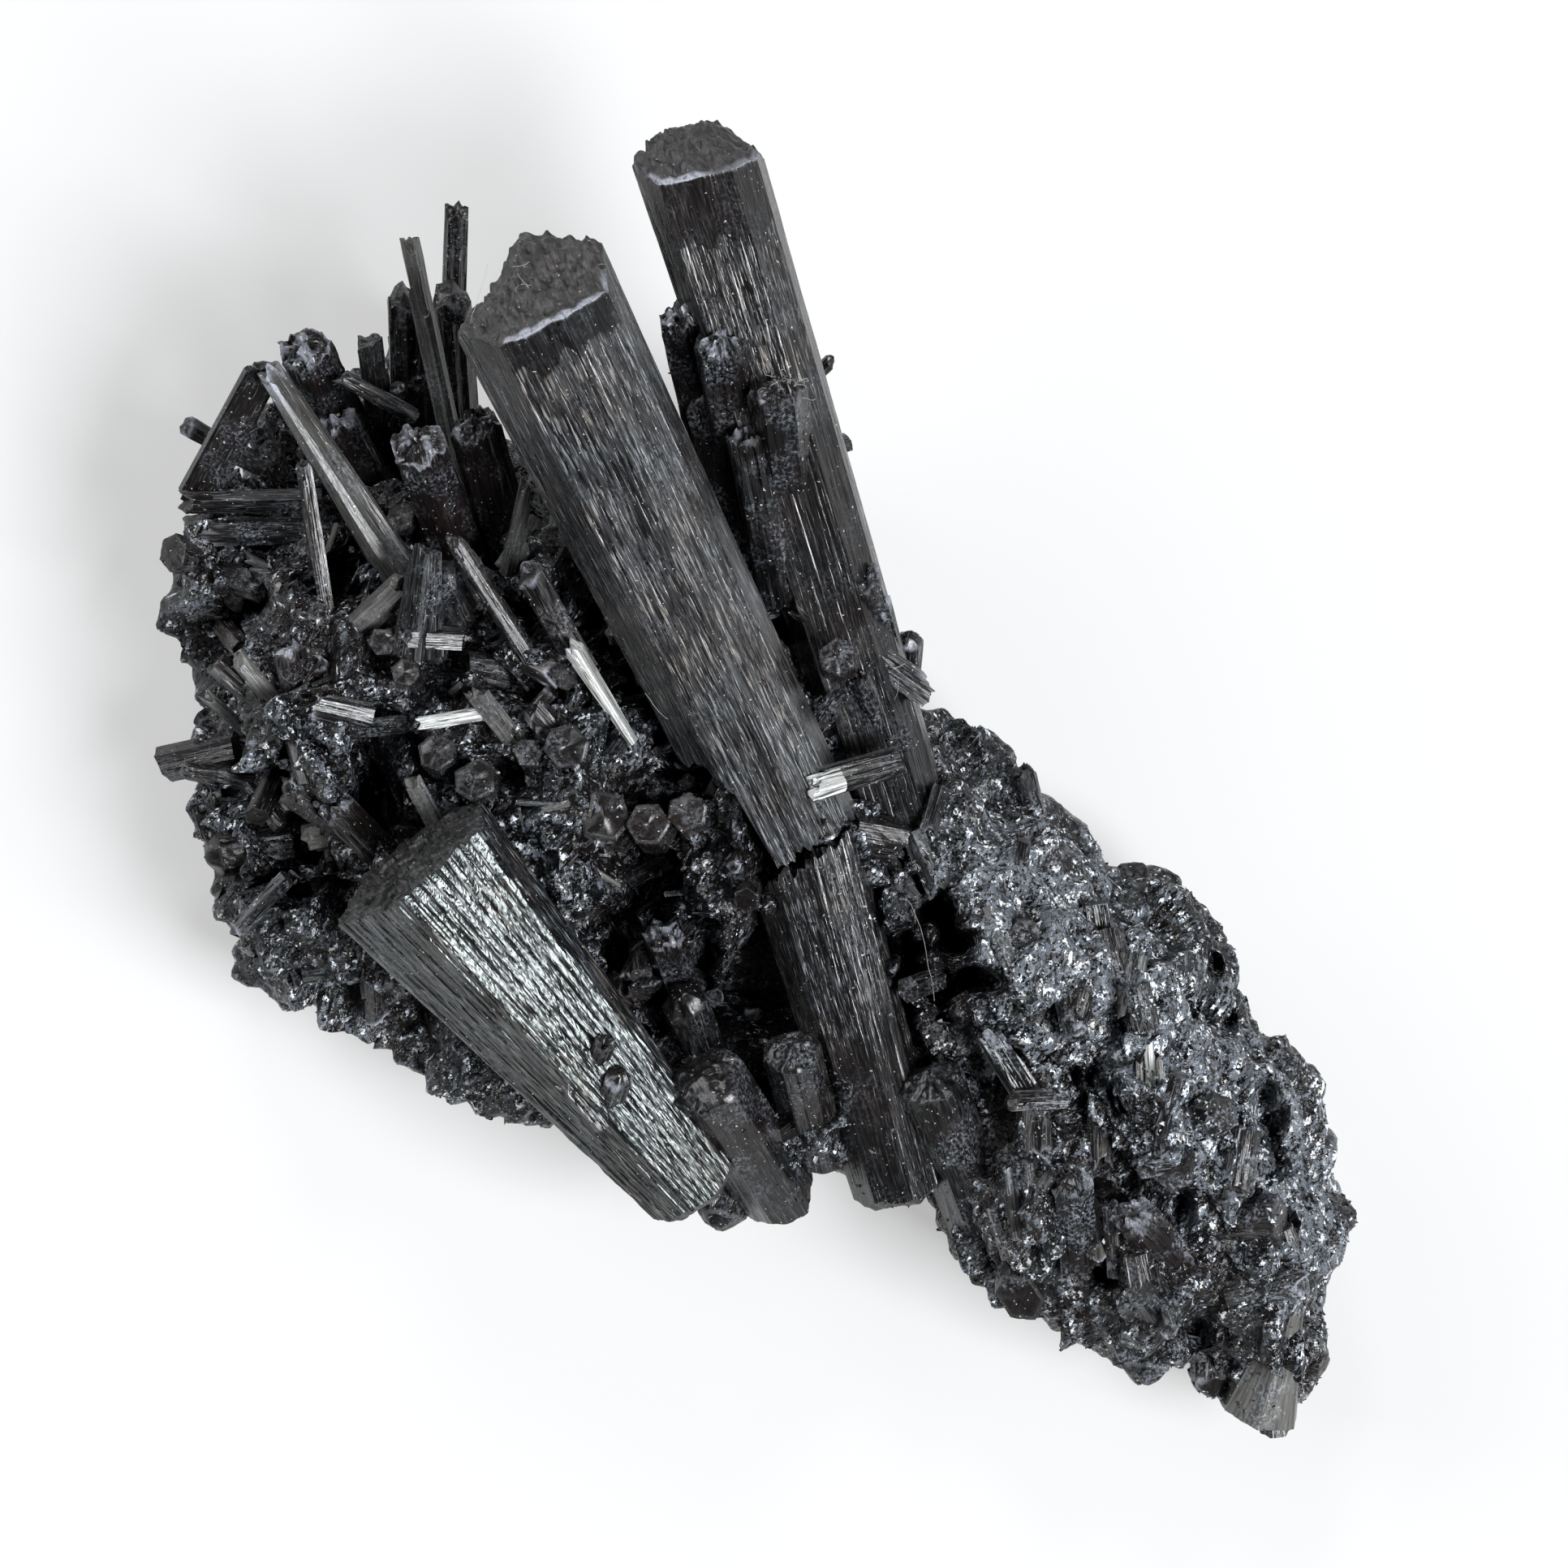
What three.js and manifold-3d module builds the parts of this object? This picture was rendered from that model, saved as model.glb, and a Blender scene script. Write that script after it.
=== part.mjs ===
// A cluster of schorl, the black tourmaline: two tall striated prisms and one broad one rise out
// of a lumpy mass of the same mineral, with sprays of small prisms around them and a rough tail.
// All of it grew together, so it is one solid. Millimetres, +Z up: the cluster lies on its broken
// back, +X runs towards the tail's side and +Y towards the tips of the tall prisms.
import * as THREE from "three";
import { mergeVertices } from "three/addons/utils/BufferGeometryUtils.js";
import Module from "manifold-3d";

const wasm = await Module();
wasm.setup();

// The tall prisms fix the cluster's size: the longest is this long, and all else follows from it.
const LENGTH_OF_TALL_PRISM = 38;
const DRAWN_LENGTH = 38;
const SIZE = LENGTH_OF_TALL_PRISM / DRAWN_LENGTH;

// Moves the middle of the cluster's box to the origin.
const MIDDLE = [-0.3762, -0.8567];

// Facets of a small prism, and how far its foot reaches below the surface that it grows from.
const SMALL_SIDES = 6;
const ROOT = 1.6;

// Corners of the large prisms' sections, in degrees from straight up, positive to the right of
// one who looks from foot to tip. A schorl's section is a triangle with blunted corners.
const TALL_LEFT_CORNERS = [-90, -36, 12, 54, 92, 150, 210];
const TALL_RIGHT_CORNERS = [-88, -44, 27, 62, 90, 150, 205];
const BROAD_CORNERS = [-88, -17, 34, 84, 140, 210];
const NINE_SIDES = [0, 28, 92, 120, 148, 212, 240, 268, 332];

// How far each of those corners stands past the middle of its prism's tip.
const TALL_LEFT_TIP = [-1.2, -1.6, -1.9, -1.3, -0.9, 0.9, -0.1];
const TALL_RIGHT_TIP = [0.4, -0.6, -0.9, -0.9, -1.1, 0.7, 1];
const BROAD_TIP = [0, 0, 0, 0, 0, 0];
const LEVEL_TIP = [0, 0, 0, 0, 0, 0, 0, 0, 0];

// Lumps of the mass: centre, then radii.
const LUMPS = {
  left_middle: [[-21.5, 4, 8], [7.8, 8.5, 9.5]],
  left_low: [[-19.5, -6, 7], [8.5, 7, 9]],
  left_corner: [[-25, -8.2, 5.5], [3.2, 3.2, 6]],
  left_rim: [[-28.5, 9.5, 8.5], [2.6, 5.8, 4.5]],
  left_bulge: [[-27.8, -0.8, 8], [2.5, 4, 5]],
  inner: [[-11, 3, 8], [8.5, 11, 10]],
  upper: [[-17, 12.6, 6], [7, 5.4, 6.5]],
  upper_ledge: [[-20.6, 16.4, 5.5], [3.6, 3.8, 5]],
  upper_spur: [[-17.8, 20.3, 5], [2.5, 4.4, 3.8]],
  upper_pocket: [[-24.8, 16.6, 4.6], [2.9, 4, 4.6]],
  heart: [[0.5, -2, 8], [8.3, 9, 8.5]],
  behind_tall: [[0.2, 11, 8], [4, 8, 7]],
  hollow_floor: [[-4, -12.5, 6], [7, 7, 6.3]],
  under_broad: [[-12.5, -12, 7], [7, 6, 6.5]],
  foot_of_tall: [[4, -14.8, 7], [5.5, 6.6, 7.2]],
  tail_neck: [[9, -3, 7.5], [5, 5.4, 6.5]],
  tail_shoulder: [[11.3, -9, 8], [7.2, 7.3, 8.5]],
  tail_ridge: [[17.5, -11.2, 7.5], [6.3, 6.3, 8]],
  tail_crest: [[20.4, -16.2, 7], [6.2, 6.2, 8.7]],
  tail_flank: [[14.3, -21.4, 7], [4.9, 6.4, 8.5]],
  tail_belly: [[19.6, -25.9, 6.5], [5.8, 4.9, 7.8]],
  tail_side: [[23.4, -20, 7], [6, 6.2, 8]],
  tail_end: [[24.3, -25, 6.5], [5.8, 6, 7.5]],
  tail_tip: [[26.2, -30, 6], [3.2, 4.2, 5.8]],
};
const LUMP_DETAIL = 1;
const LUMP_ROUGHNESS = 0.07;

// Large prisms: tip, foot, width at the tip and at the foot, section and tip.
const LARGE = {
  tall_left: [[-12.2, 25, 26.8], [1.8, -4, 15], 8.7, 7.2, TALL_LEFT_CORNERS, TALL_LEFT_TIP],
  tall_left_root: [[1.7, -3, 15.4], [7.3, -22.7, 10.6], 6.2, 5, TALL_LEFT_CORNERS, TALL_LEFT_TIP],
  tall_right: [[-3.6, 31.8, 21], [7.8, -4.5, 11.5], 6.6, 5, TALL_RIGHT_CORNERS, TALL_RIGHT_TIP],
  broad: [[-18.2, -4.6, 20.2], [-3, -22.4, 13.4], 10, 5.6, BROAD_CORNERS, BROAD_TIP],
  shoulder: [[-0.7, 6.6, 18.4], [1.8, -2.8, 14], 3.7, 4, NINE_SIDES, LEVEL_TIP],
  front_stub: [[-3.3, -15.5, 18], [0.9, -22.6, 9], 4.4, 4.3, NINE_SIDES, LEVEL_TIP],
  side_stub: [[1.3, -14.1, 16.6], [2.8, -20.2, 9.5], 3.2, 3.2, NINE_SIDES, LEVEL_TIP],
  tail_edge_prism: [[8.4, -15.6, 14.6], [12, -25.6, 8], 3.8, 3.6, NINE_SIDES, LEVEL_TIP],
};

// Prisms that show one by one: tip, foot, width at the tip, and at the foot where it differs.
const SMALL = {
  // Upright stubs between the tall prisms
  mid_left: [[-4.5, 23.5, 18.6], [-1.8, 12.5, 13], 2.6],
  mid_front: [[-2.3, 22.4, 20.6], [-0.4, 12.5, 14.5], 2.7],
  mid_right: [[0.6, 19.8, 20.6], [1.8, 10.5, 14], 2.9],
  mid_deep: [[-2.6, 20.2, 17], [0.2, 8.6, 12], 4.2],
  mid_low: [[-1, 17.6, 20], [0.6, 9, 14.5], 2.5],

  // The spray at the upper left, open underneath
  roof_left: [[-25.7, 21.1, 17], [-29.9, 14.4, 11.5], 2.2],
  roof_block: [[-24, 22.2, 15.5], [-21.8, 17, 7], 3.1],
  roof_blade: [[-25.8, 21.2, 18.5], [-18.6, 9.9, 15], 1.6, 2.7],
  roof_sliver: [[-23.9, 16.2, 17], [-22.4, 6.6, 15.6], 1.2, 0.9],
  level_bar: [[-30.8, 14.2, 12.6], [-23.2, 14.3, 12.6], 1.5],
  level_bar_under: [[-29.9, 12.7, 12.2], [-22.8, 12.8, 12], 1.7],
  pale_stub: [[-30.6, 18.4, 11], [-26.6, 16.2, 8.5], 1.4],
  roof_brace: [[-29, 17.2, 11.5], [-28.2, 11.5, 9.5], 1.6],
  spire_front: [[-18.4, 27.6, 18.6], [-15.8, 14.4, 11.2], 1.35],
  spire_back: [[-16.1, 29.7, 13.5], [-16.6, 19, 8], 1.55],
  spire_collar: [[-16.4, 25.2, 14], [-16.2, 18, 6], 2.4],
  back_post: [[-19, 25.6, 10.5], [-19, 17, 5.5], 2.3],
  back_wall: [[-17.7, 24.4, 8.5], [-17.8, 16, 5], 4.2],
  back_tooth: [[-20.8, 23, 12.5], [-20.4, 18, 7], 1.7],
  bridge: [[-22.2, 20.7, 15.6], [-18.3, 18.6, 13.5], 1.1],
  ledge_block: [[-22.6, 18.6, 12.5], [-20.4, 14.5, 8], 2.6],
  twin_left: [[-18, 17.2, 18.6], [-16, 11.6, 11.5], 3.3],
  twin_right: [[-15.1, 18.2, 17.6], [-13.4, 11.6, 11], 2.9],
  side_blade: [[-12.2, 15.2, 18.6], [-13.4, 10.4, 16], 1.1],

  // The jumble on the left mass
  needle: [[-16.1, 12.2, 20.2], [-12.2, 6, 17.2], 1.3],
  tooth: [[-12.2, 10.6, 20.2], [-9.4, 5.6, 17], 2.1],
  sliver: [[-10.1, 6.8, 19.8], [-6.8, 1.6, 18], 1.3, 0.7],
  plate: [[-17.2, 10.2, 19.6], [-16, 7.6, 11], 3.4],
  pale_bar: [[-18.5, 9.8, 19], [-21.6, 7.2, 16.2], 1.7],
  short_bar: [[-18.8, 7, 19.6], [-15.8, 6.9, 18.4], 1.6],
  hex_upper: [[-18.5, 5.2, 20.2], [-18, 4.2, 12], 1.6],
  hex_beside: [[-19.7, 6.8, 18.8], [-19.2, 5.8, 12], 1.6],
  white_bar: [[-18.1, 2.5, 20.2], [-14.6, 3.1, 19], 0.9],
  hex_middle: [[-16.9, 1.1, 20], [-16.5, 0.2, 12], 2.1],
  hex_right: [[-12.2, 1.1, 19.6], [-12, 0.4, 12], 1.6],
  hex_tall: [[-10.2, 1.4, 20.8], [-9.8, 0.6, 12], 2.5],
  hex_wide: [[-14.9, -0.3, 20], [-14.5, -1.1, 12], 2.4],
  hex_low: [[-8.3, -2.2, 19.6], [-7.9, -2.9, 11], 2.9],
  hex_low_right: [[-6, -2.6, 20], [-5.6, -3.3, 11], 2.4],
  hex_edge: [[-4, -2, 20], [-3.7, -2.6, 11], 2.2],
  hex_small: [[-10.6, -2.5, 18.6], [-10.4, -3, 11], 1.3],
  pale_stick: [[-18.3, -0.1, 19.4], [-17, -2.6, 17.4], 1.3],
  ribbed_stick: [[-15.1, 4.5, 19.8], [-12.9, 1.6, 18], 1.4],
  pale_shard: [[-27.3, 6, 16.6], [-24.5, 2.7, 14.6], 1.3],
  thin_shard: [[-29.4, 4.2, 12.4], [-27.4, 2.3, 11], 0.9],
  low_stick: [[-29.2, -0.9, 10.6], [-27.8, -3.8, 9], 1.3],
  lobe: [[-29.6, -4.4, 9.6], [-25, -3.6, 9], 2.5],
  horn: [[-30.8, 0.3, 10.6], [-27, -0.6, 9.6], 1.1, 1.8],
  post: [[-27, -7, 9], [-26.8, -3.6, 8], 0.9],
  chunk: [[-24.6, 6.6, 17.6], [-24.2, 3.2, 14.4], 2],
  low_bar: [[-23.4, 2, 17.6], [-18.6, 2.6, 17], 1.3],
  lintel: [[-25, -0.6, 16.6], [-21, -3.4, 14], 2.2],
  slab: [[-22.4, -1.6, 17.6], [-19.6, -4.6, 14], 2.4],
  knuckle: [[-25.2, -10.2, 9.6], [-22.6, -7, 8], 2.2],

  // Around the heart and the right prism's foot
  hex_heart: [[3.7, 6, 19.6], [4, 5, 11], 2.1],
  right_bar: [[8.6, 3.9, 15], [4, 7.1, 16], 1.9],
  right_sliver: [[1.3, 8.6, 17.6], [3.4, 6.8, 15], 0.9],
  right_cap: [[5.1, 10.4, 17.6], [6.6, 5.8, 13.6], 2, 1.6],
  right_lump: [[7.5, 7.4, 12], [7.2, 3.4, 8.5], 1.8],
  bright_peg: [[2, -0.8, 18.8], [6.8, 0.5, 16.4], 1.6],
  brown_slab: [[4.7, 5.1, 16.6], [6.7, 1, 14], 1.5],
  small_blade: [[3.8, 4.3, 16.8], [1.8, 1.2, 15.6], 1],
  hex_deep: [[7, 1.8, 15.6], [7.1, 0.8, 10], 1.5],
  shoulder_hex: [[-1, 8.5, 19.4], [-0.2, 6.4, 14], 1.7],
  shoulder_chip: [[-0.4, 6.6, 19], [0.5, 4.6, 15], 1.5],
  hollow_stick: [[8, -6.8, 15.4], [6.5, -4.6, 14], 0.9],
  hollow_ledge: [[-5.4, -8.2, 15.4], [-4.2, -12, 10], 2.4],
  foot_chip: [[-2.6, -24, 9.6], [-1.2, -19, 8.6], 2.8],
  foot_chip_left: [[-5.6, -23.2, 9.6], [-4, -18.6, 8], 2.4],
  hollow_knob: [[-4.4, -11.4, 14.6], [-3, -15, 9], 2.8],
  wall_bump: [[3.5, 21.6, 15.6], [2.2, 20.2, 15], 0.9],

  // On the tail
  tail_top_tooth: [[13.4, 0.4, 10.6], [14.4, -3.4, 8.5], 1.5],
  tail_nodule: [[20, -4.9, 8.4], [17.4, -7.4, 7.5], 2.3],
  tail_nodule_low: [[22.6, -8, 7.6], [19.6, -10.2, 7], 2.6],
  tail_round_end: [[28.8, -16.5, 9], [25, -17.4, 8], 2.2],
  tail_edge_lump: [[31.4, -23.6, 7.6], [26.6, -23, 7], 3],
  tail_foot_lump: [[20, -32.2, 8], [20.6, -27.4, 7], 3],
  tail_foot_lump_small: [[14.6, -27.2, 8], [15.4, -24.2, 7], 2.6],
  tail_under_lump: [[23.6, -33, 7.6], [24, -28, 7], 2.8],
  tail_bar: [[12.6, -16.9, 16.4], [15.6, -16.8, 15.8], 1.4],
  tail_needle: [[20, -14.3, 16], [20.4, -18, 15.2], 1],
  tail_post: [[13.3, -19.4, 15.6], [13.8, -23.4, 14.4], 1.7],
  tail_bar_low: [[19.2, -20.5, 15.8], [21.9, -20.2, 14.8], 1.4],
  tail_wedge: [[19, -22.8, 15], [21.8, -26, 11], 2.8],
  tail_brown: [[15.8, -21, 15.8], [16.2, -25.6, 12.4], 2.7],
  tail_disc: [[23.4, -17.7, 15.9], [23, -18.2, 9], 2.7],
  tail_cleavage: [[28.6, -28, 9.6], [26, -33.8, 9], 3.4, 3],
};

// How thickly small prisms stud each kind of ground: how many a lump, their width, how far they
// stand out, and how far they lean from the surface's own direction.
const GROUND = {
  jumble: { count: 5, width: [0.9, 2.1], reach: [0.7, 2], lean: 1.2 },
  crust: { count: 4, width: [1.4, 2.9], reach: [0.25, 0.85], lean: 0.7 },
};
const FIRST_SEED = 61;
const LOWEST_START = 1.4;
const OTHER_LUMP_MARGIN = 0.94;

// Pits in the jumble: centre and radius.
const PITS = [
  [[-24.4, -5.6, 15.6], 1.7],
  [[-22.4, 0, 18.4], 1.3],
  [[-8.4, 5, 19.6], 1.2],
];

// Seeded random numbers from 0 to 1, the same in every run.
function seeded(seed) {
  let state = seed >>> 0;
  return () => {
    state = (state + 0x6d2b79f5) >>> 0;
    let mixed = Math.imul(state ^ (state >>> 15), state | 1);
    mixed = (mixed ^ (mixed + Math.imul(mixed ^ (mixed >>> 7), mixed | 61))) >>> 0;
    return ((mixed ^ (mixed >>> 14)) >>> 0) / 4294967296;
  };
}

function solidOf(geometry) {
  geometry.deleteAttribute("normal");
  geometry.deleteAttribute("uv");
  const merged = mergeVertices(geometry, 1e-4);
  return new wasm.Manifold(
    new wasm.Mesh({
      numProp: 3,
      vertProperties: new Float32Array(merged.attributes.position.array),
      triVerts: new Uint32Array(merged.index.array),
    }),
  );
}

// The section of a prism of radius 1, with its corners at these angles.
function sectionOf(corners) {
  const points = corners.map((degrees) => {
    const angle = THREE.MathUtils.degToRad(degrees);
    return new THREE.Vector2(Math.cos(angle), Math.sin(angle));
  });
  return new THREE.Shape(points);
}

const evenCorners = (sides, turn) =>
  Array.from({ length: sides }, (_, i) => turn + (360 * i) / sides);

// A matrix that lays +Z along the crystal, from foot to tip, and +X as near to straight up as
// it goes, or towards +X on a crystal that stands.
function placeOf(tip, foot) {
  const STANDING = 0.95;
  const along = tip.clone().sub(foot).normalize();
  const aim = Math.abs(along.z) > STANDING ? new THREE.Vector3(1, 0, 0) : new THREE.Vector3(0, 0, 1);
  const up = aim.sub(along.clone().multiplyScalar(aim.dot(along))).normalize();
  const right = along.clone().cross(up);
  return new THREE.Matrix4().makeBasis(up, right, along).setPosition(foot);
}

// Which of the section's corners this point is.
function cornerOf(x, y, corners) {
  const turn = THREE.MathUtils.radToDeg(Math.atan2(y, x));
  const offBy = (degrees) => Math.abs(THREE.MathUtils.euclideanModulo(degrees - turn + 180, 360) - 180);
  return corners.reduce((best, degrees, i) => (offBy(degrees) < offBy(corners[best]) ? i : best), 0);
}

// A crystal: a tapering prism, with each corner of its tip at its own height.
function crystal(tip, foot, tipWidth, footWidth, corners, heights) {
  const length = tip.distanceTo(foot);
  const geometry = new THREE.ExtrudeGeometry(sectionOf(corners), { depth: length, bevelEnabled: false });
  const position = geometry.getAttribute("position");
  for (let i = 0; i < position.count; i++) {
    const share = position.getZ(i) / length;
    const radius = THREE.MathUtils.lerp(footWidth, tipWidth, share) / 2;
    const [x, y] = [position.getX(i), position.getY(i)];
    const height = share * heights[cornerOf(x, y, corners)];
    position.setXYZ(i, x * radius, y * radius, position.getZ(i) + height);
  }
  return solidOf(geometry.applyMatrix4(placeOf(tip, foot)));
}

// A lump: a coarse ball drawn out to its radii, with its corners in and out.
function lump([centre, radii]) {
  const geometry = new THREE.IcosahedronGeometry(1, LUMP_DETAIL);
  const position = geometry.getAttribute("position");
  for (let i = 0; i < position.count; i++) {
    const [x, y, z] = [position.getX(i), position.getY(i), position.getZ(i)];
    const wave = Math.sin(5 * x + centre[0]) + Math.sin(4 * y + centre[1]) + Math.sin(6 * z + centre[2]);
    const out = 1 + LUMP_ROUGHNESS * (wave / 1.5 + 1);
    position.setXYZ(i, centre[0] + x * radii[0] * out, centre[1] + y * radii[1] * out, centre[2] + z * radii[2] * out);
  }
  return solidOf(geometry);
}

const insideOf = (point, [centre, radii]) =>
  Math.hypot(...point.map((value, axis) => (value - centre[axis]) / radii[axis])) < OTHER_LUMP_MARGIN;

// Small prisms that stud one lump, wherever it isn't buried in its neighbours.
function studsOf(name, seed) {
  const random = seeded(seed);
  const ground = name.startsWith("tail") ? GROUND.crust : GROUND.jumble;
  const between = ([low, high]) => low + (high - low) * random();
  const [centre, radii] = LUMPS[name];
  const studs = [];
  for (let i = 0; i < ground.count; i++) {
    const height = 2 * random() - 1;
    const turn = 2 * Math.PI * random();
    const flat = Math.sqrt(1 - height * height);
    const direction = [flat * Math.cos(turn), flat * Math.sin(turn), height];
    const lean = [random() - 0.5, random() - 0.5, random() - 0.5].map((value) => value * ground.lean);
    const width = between(ground.width);
    const reach = between(ground.reach);
    const twist = 60 * random();
    const [slope, sideSlope] = [random() - 0.5, random() - 0.5];
    const start = direction.map((value, axis) => centre[axis] + value * radii[axis]);
    const buried = Object.keys(LUMPS).some((other) => other !== name && insideOf(start, LUMPS[other]));
    if (buried || start[2] < LOWEST_START) continue;
    const axis = new THREE.Vector3(...direction.map((value, k) => value + lean[k])).normalize();
    const base = new THREE.Vector3(...start);
    const tip = base.clone().addScaledVector(axis, reach + width * 0.2);
    const foot = base.clone().addScaledVector(axis, -ROOT - width * 0.4);
    const corners = evenCorners(SMALL_SIDES, twist);
    const heights = corners.map((degrees) => {
      const angle = THREE.MathUtils.degToRad(degrees);
      return (width / 2) * (slope * Math.cos(angle) + sideSlope * Math.sin(angle));
    });
    studs.push(crystal(tip, foot, width, width, corners, heights));
  }
  return studs;
}

function grownTogether() {
  const solids = Object.values(LUMPS).map(lump);
  for (const [tip, foot, ...shape] of Object.values(LARGE)) {
    solids.push(crystal(new THREE.Vector3(...tip), new THREE.Vector3(...foot), ...shape));
  }
  Object.values(SMALL).forEach(([tip, foot, tipWidth, footWidth = tipWidth], i) => {
    const corners = evenCorners(SMALL_SIDES, 17 * i);
    const level = corners.map(() => 0);
    solids.push(crystal(new THREE.Vector3(...tip), new THREE.Vector3(...foot), tipWidth, footWidth, corners, level));
  });
  Object.keys(LUMPS).forEach((name, i) => solids.push(...studsOf(name, FIRST_SEED + i)));
  return solids.reduce((whole, solid) => whole.add(solid));
}

// The cluster broke off its wall along a rough plane, which is its flat back.
function cutAtBack(solid) {
  const DEPTH = 20;
  const WIDE = 200;
  const below = new THREE.BoxGeometry(WIDE, WIDE, DEPTH).translate(0, 0, -DEPTH / 2);
  return solid.subtract(solidOf(below));
}

function withPits(solid) {
  return PITS.reduce((whole, [centre, radius]) => {
    const hole = new THREE.IcosahedronGeometry(radius, 1).translate(...centre);
    return whole.subtract(solidOf(hole));
  }, solid);
}

function clusterMesh() {
  const solid = withPits(cutAtBack(grownTogether())).decompose().sort((a, b) => b.volume() - a.volume())[0];
  const { vertProperties, triVerts } = solid.getMesh();
  const geometry = new THREE.BufferGeometry();
  geometry.setAttribute("position", new THREE.BufferAttribute(vertProperties, 3));
  geometry.setIndex(new THREE.BufferAttribute(triVerts, 1));
  geometry.translate(-MIDDLE[0], -MIDDLE[1], 0).scale(SIZE, SIZE, SIZE);
  const schorl = new THREE.MeshStandardMaterial({ color: 0x1a1a1c, roughness: 0.35, metalness: 0, flatShading: true });
  const mesh = new THREE.Mesh(geometry, schorl);
  mesh.name = "schorl_cluster";
  return mesh;
}

const specimen = new THREE.Group();
specimen.add(clusterMesh());

export default specimen;
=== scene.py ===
"""A cluster of schorl, the black tourmaline, seen straight down as it lies on its broken back.

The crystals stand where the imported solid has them: the tables below repeat its places, in
millimetres before the middle of the box is moved to the origin, and add a few small prisms.
Everything else, such as the striations, the frosted tips and the crust of tiny crystals, is
made here by formula.
"""
import math

import bmesh
import bpy
import numpy as np
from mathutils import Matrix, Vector


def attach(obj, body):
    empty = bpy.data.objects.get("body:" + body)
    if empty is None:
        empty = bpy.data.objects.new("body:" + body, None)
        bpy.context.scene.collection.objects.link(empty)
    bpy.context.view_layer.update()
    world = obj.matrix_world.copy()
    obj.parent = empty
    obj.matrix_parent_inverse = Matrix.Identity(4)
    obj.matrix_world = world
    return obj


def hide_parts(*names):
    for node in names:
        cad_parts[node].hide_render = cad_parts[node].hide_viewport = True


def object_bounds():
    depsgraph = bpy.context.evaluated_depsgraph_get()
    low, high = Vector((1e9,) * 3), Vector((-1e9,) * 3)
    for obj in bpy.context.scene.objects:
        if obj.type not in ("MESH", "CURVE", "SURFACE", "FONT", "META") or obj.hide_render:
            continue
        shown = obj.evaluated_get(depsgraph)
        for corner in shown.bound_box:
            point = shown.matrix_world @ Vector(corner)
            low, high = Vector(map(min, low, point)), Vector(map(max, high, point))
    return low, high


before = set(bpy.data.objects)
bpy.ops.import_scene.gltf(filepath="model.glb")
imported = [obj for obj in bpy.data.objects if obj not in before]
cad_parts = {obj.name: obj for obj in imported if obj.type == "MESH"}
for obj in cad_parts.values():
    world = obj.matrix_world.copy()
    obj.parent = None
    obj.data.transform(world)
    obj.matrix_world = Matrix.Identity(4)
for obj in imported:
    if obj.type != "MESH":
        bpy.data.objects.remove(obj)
CAD_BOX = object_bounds()

MM = 0.001
MIDDLE = np.array([-0.3762, -0.8567, 0.0])

# The camera looks straight down from this height over the plane that the scale was read on.
PHOTO_SCALE_PLANE = 20.0
CAMERA_DISTANCE = 400.0
VIEW_WIDTH = 80.5
VIEW_MIDDLE = (0.96, -0.54)
SENSOR = 36.0

# Corners of the large prisms' sections, in degrees from straight up, positive to the right of
# one who looks from foot to tip, and how far each stands past the middle of the tip.
TALL_LEFT_CORNERS = [-90, -36, 12, 54, 92, 150, 210]
TALL_LEFT_TOP = [-90, -36, 12, 54, 92, 150, 170, 210]
TALL_RIGHT_CORNERS = [-88, -44, 27, 62, 90, 150, 205]
BROAD_CORNERS = [-88, -17, 45.3, 84, 140, 210]
NINE_SIDES = [0, 28, 92, 120, 148, 212, 240, 268, 332]
TALL_LEFT_TIP = [-1.2, -1.65, -1.5, -1.8, -0.1, 0.4, 0.9, -1.2]
TALL_RIGHT_TIP = [0.4, -0.6, -0.9, -0.9, -1.1, 0.7, 1]
ROOT_TIP = [-2.8, -1.75, -0.8, -0.35, -0.5, -1.2, -2.2]
BROAD_TIP = [0] * 6
LEVEL_TIP = [0] * 9

# How much further out than the others a corner stands, by its angle.
CORNER_REACH = {45.3: 1.126}

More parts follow.
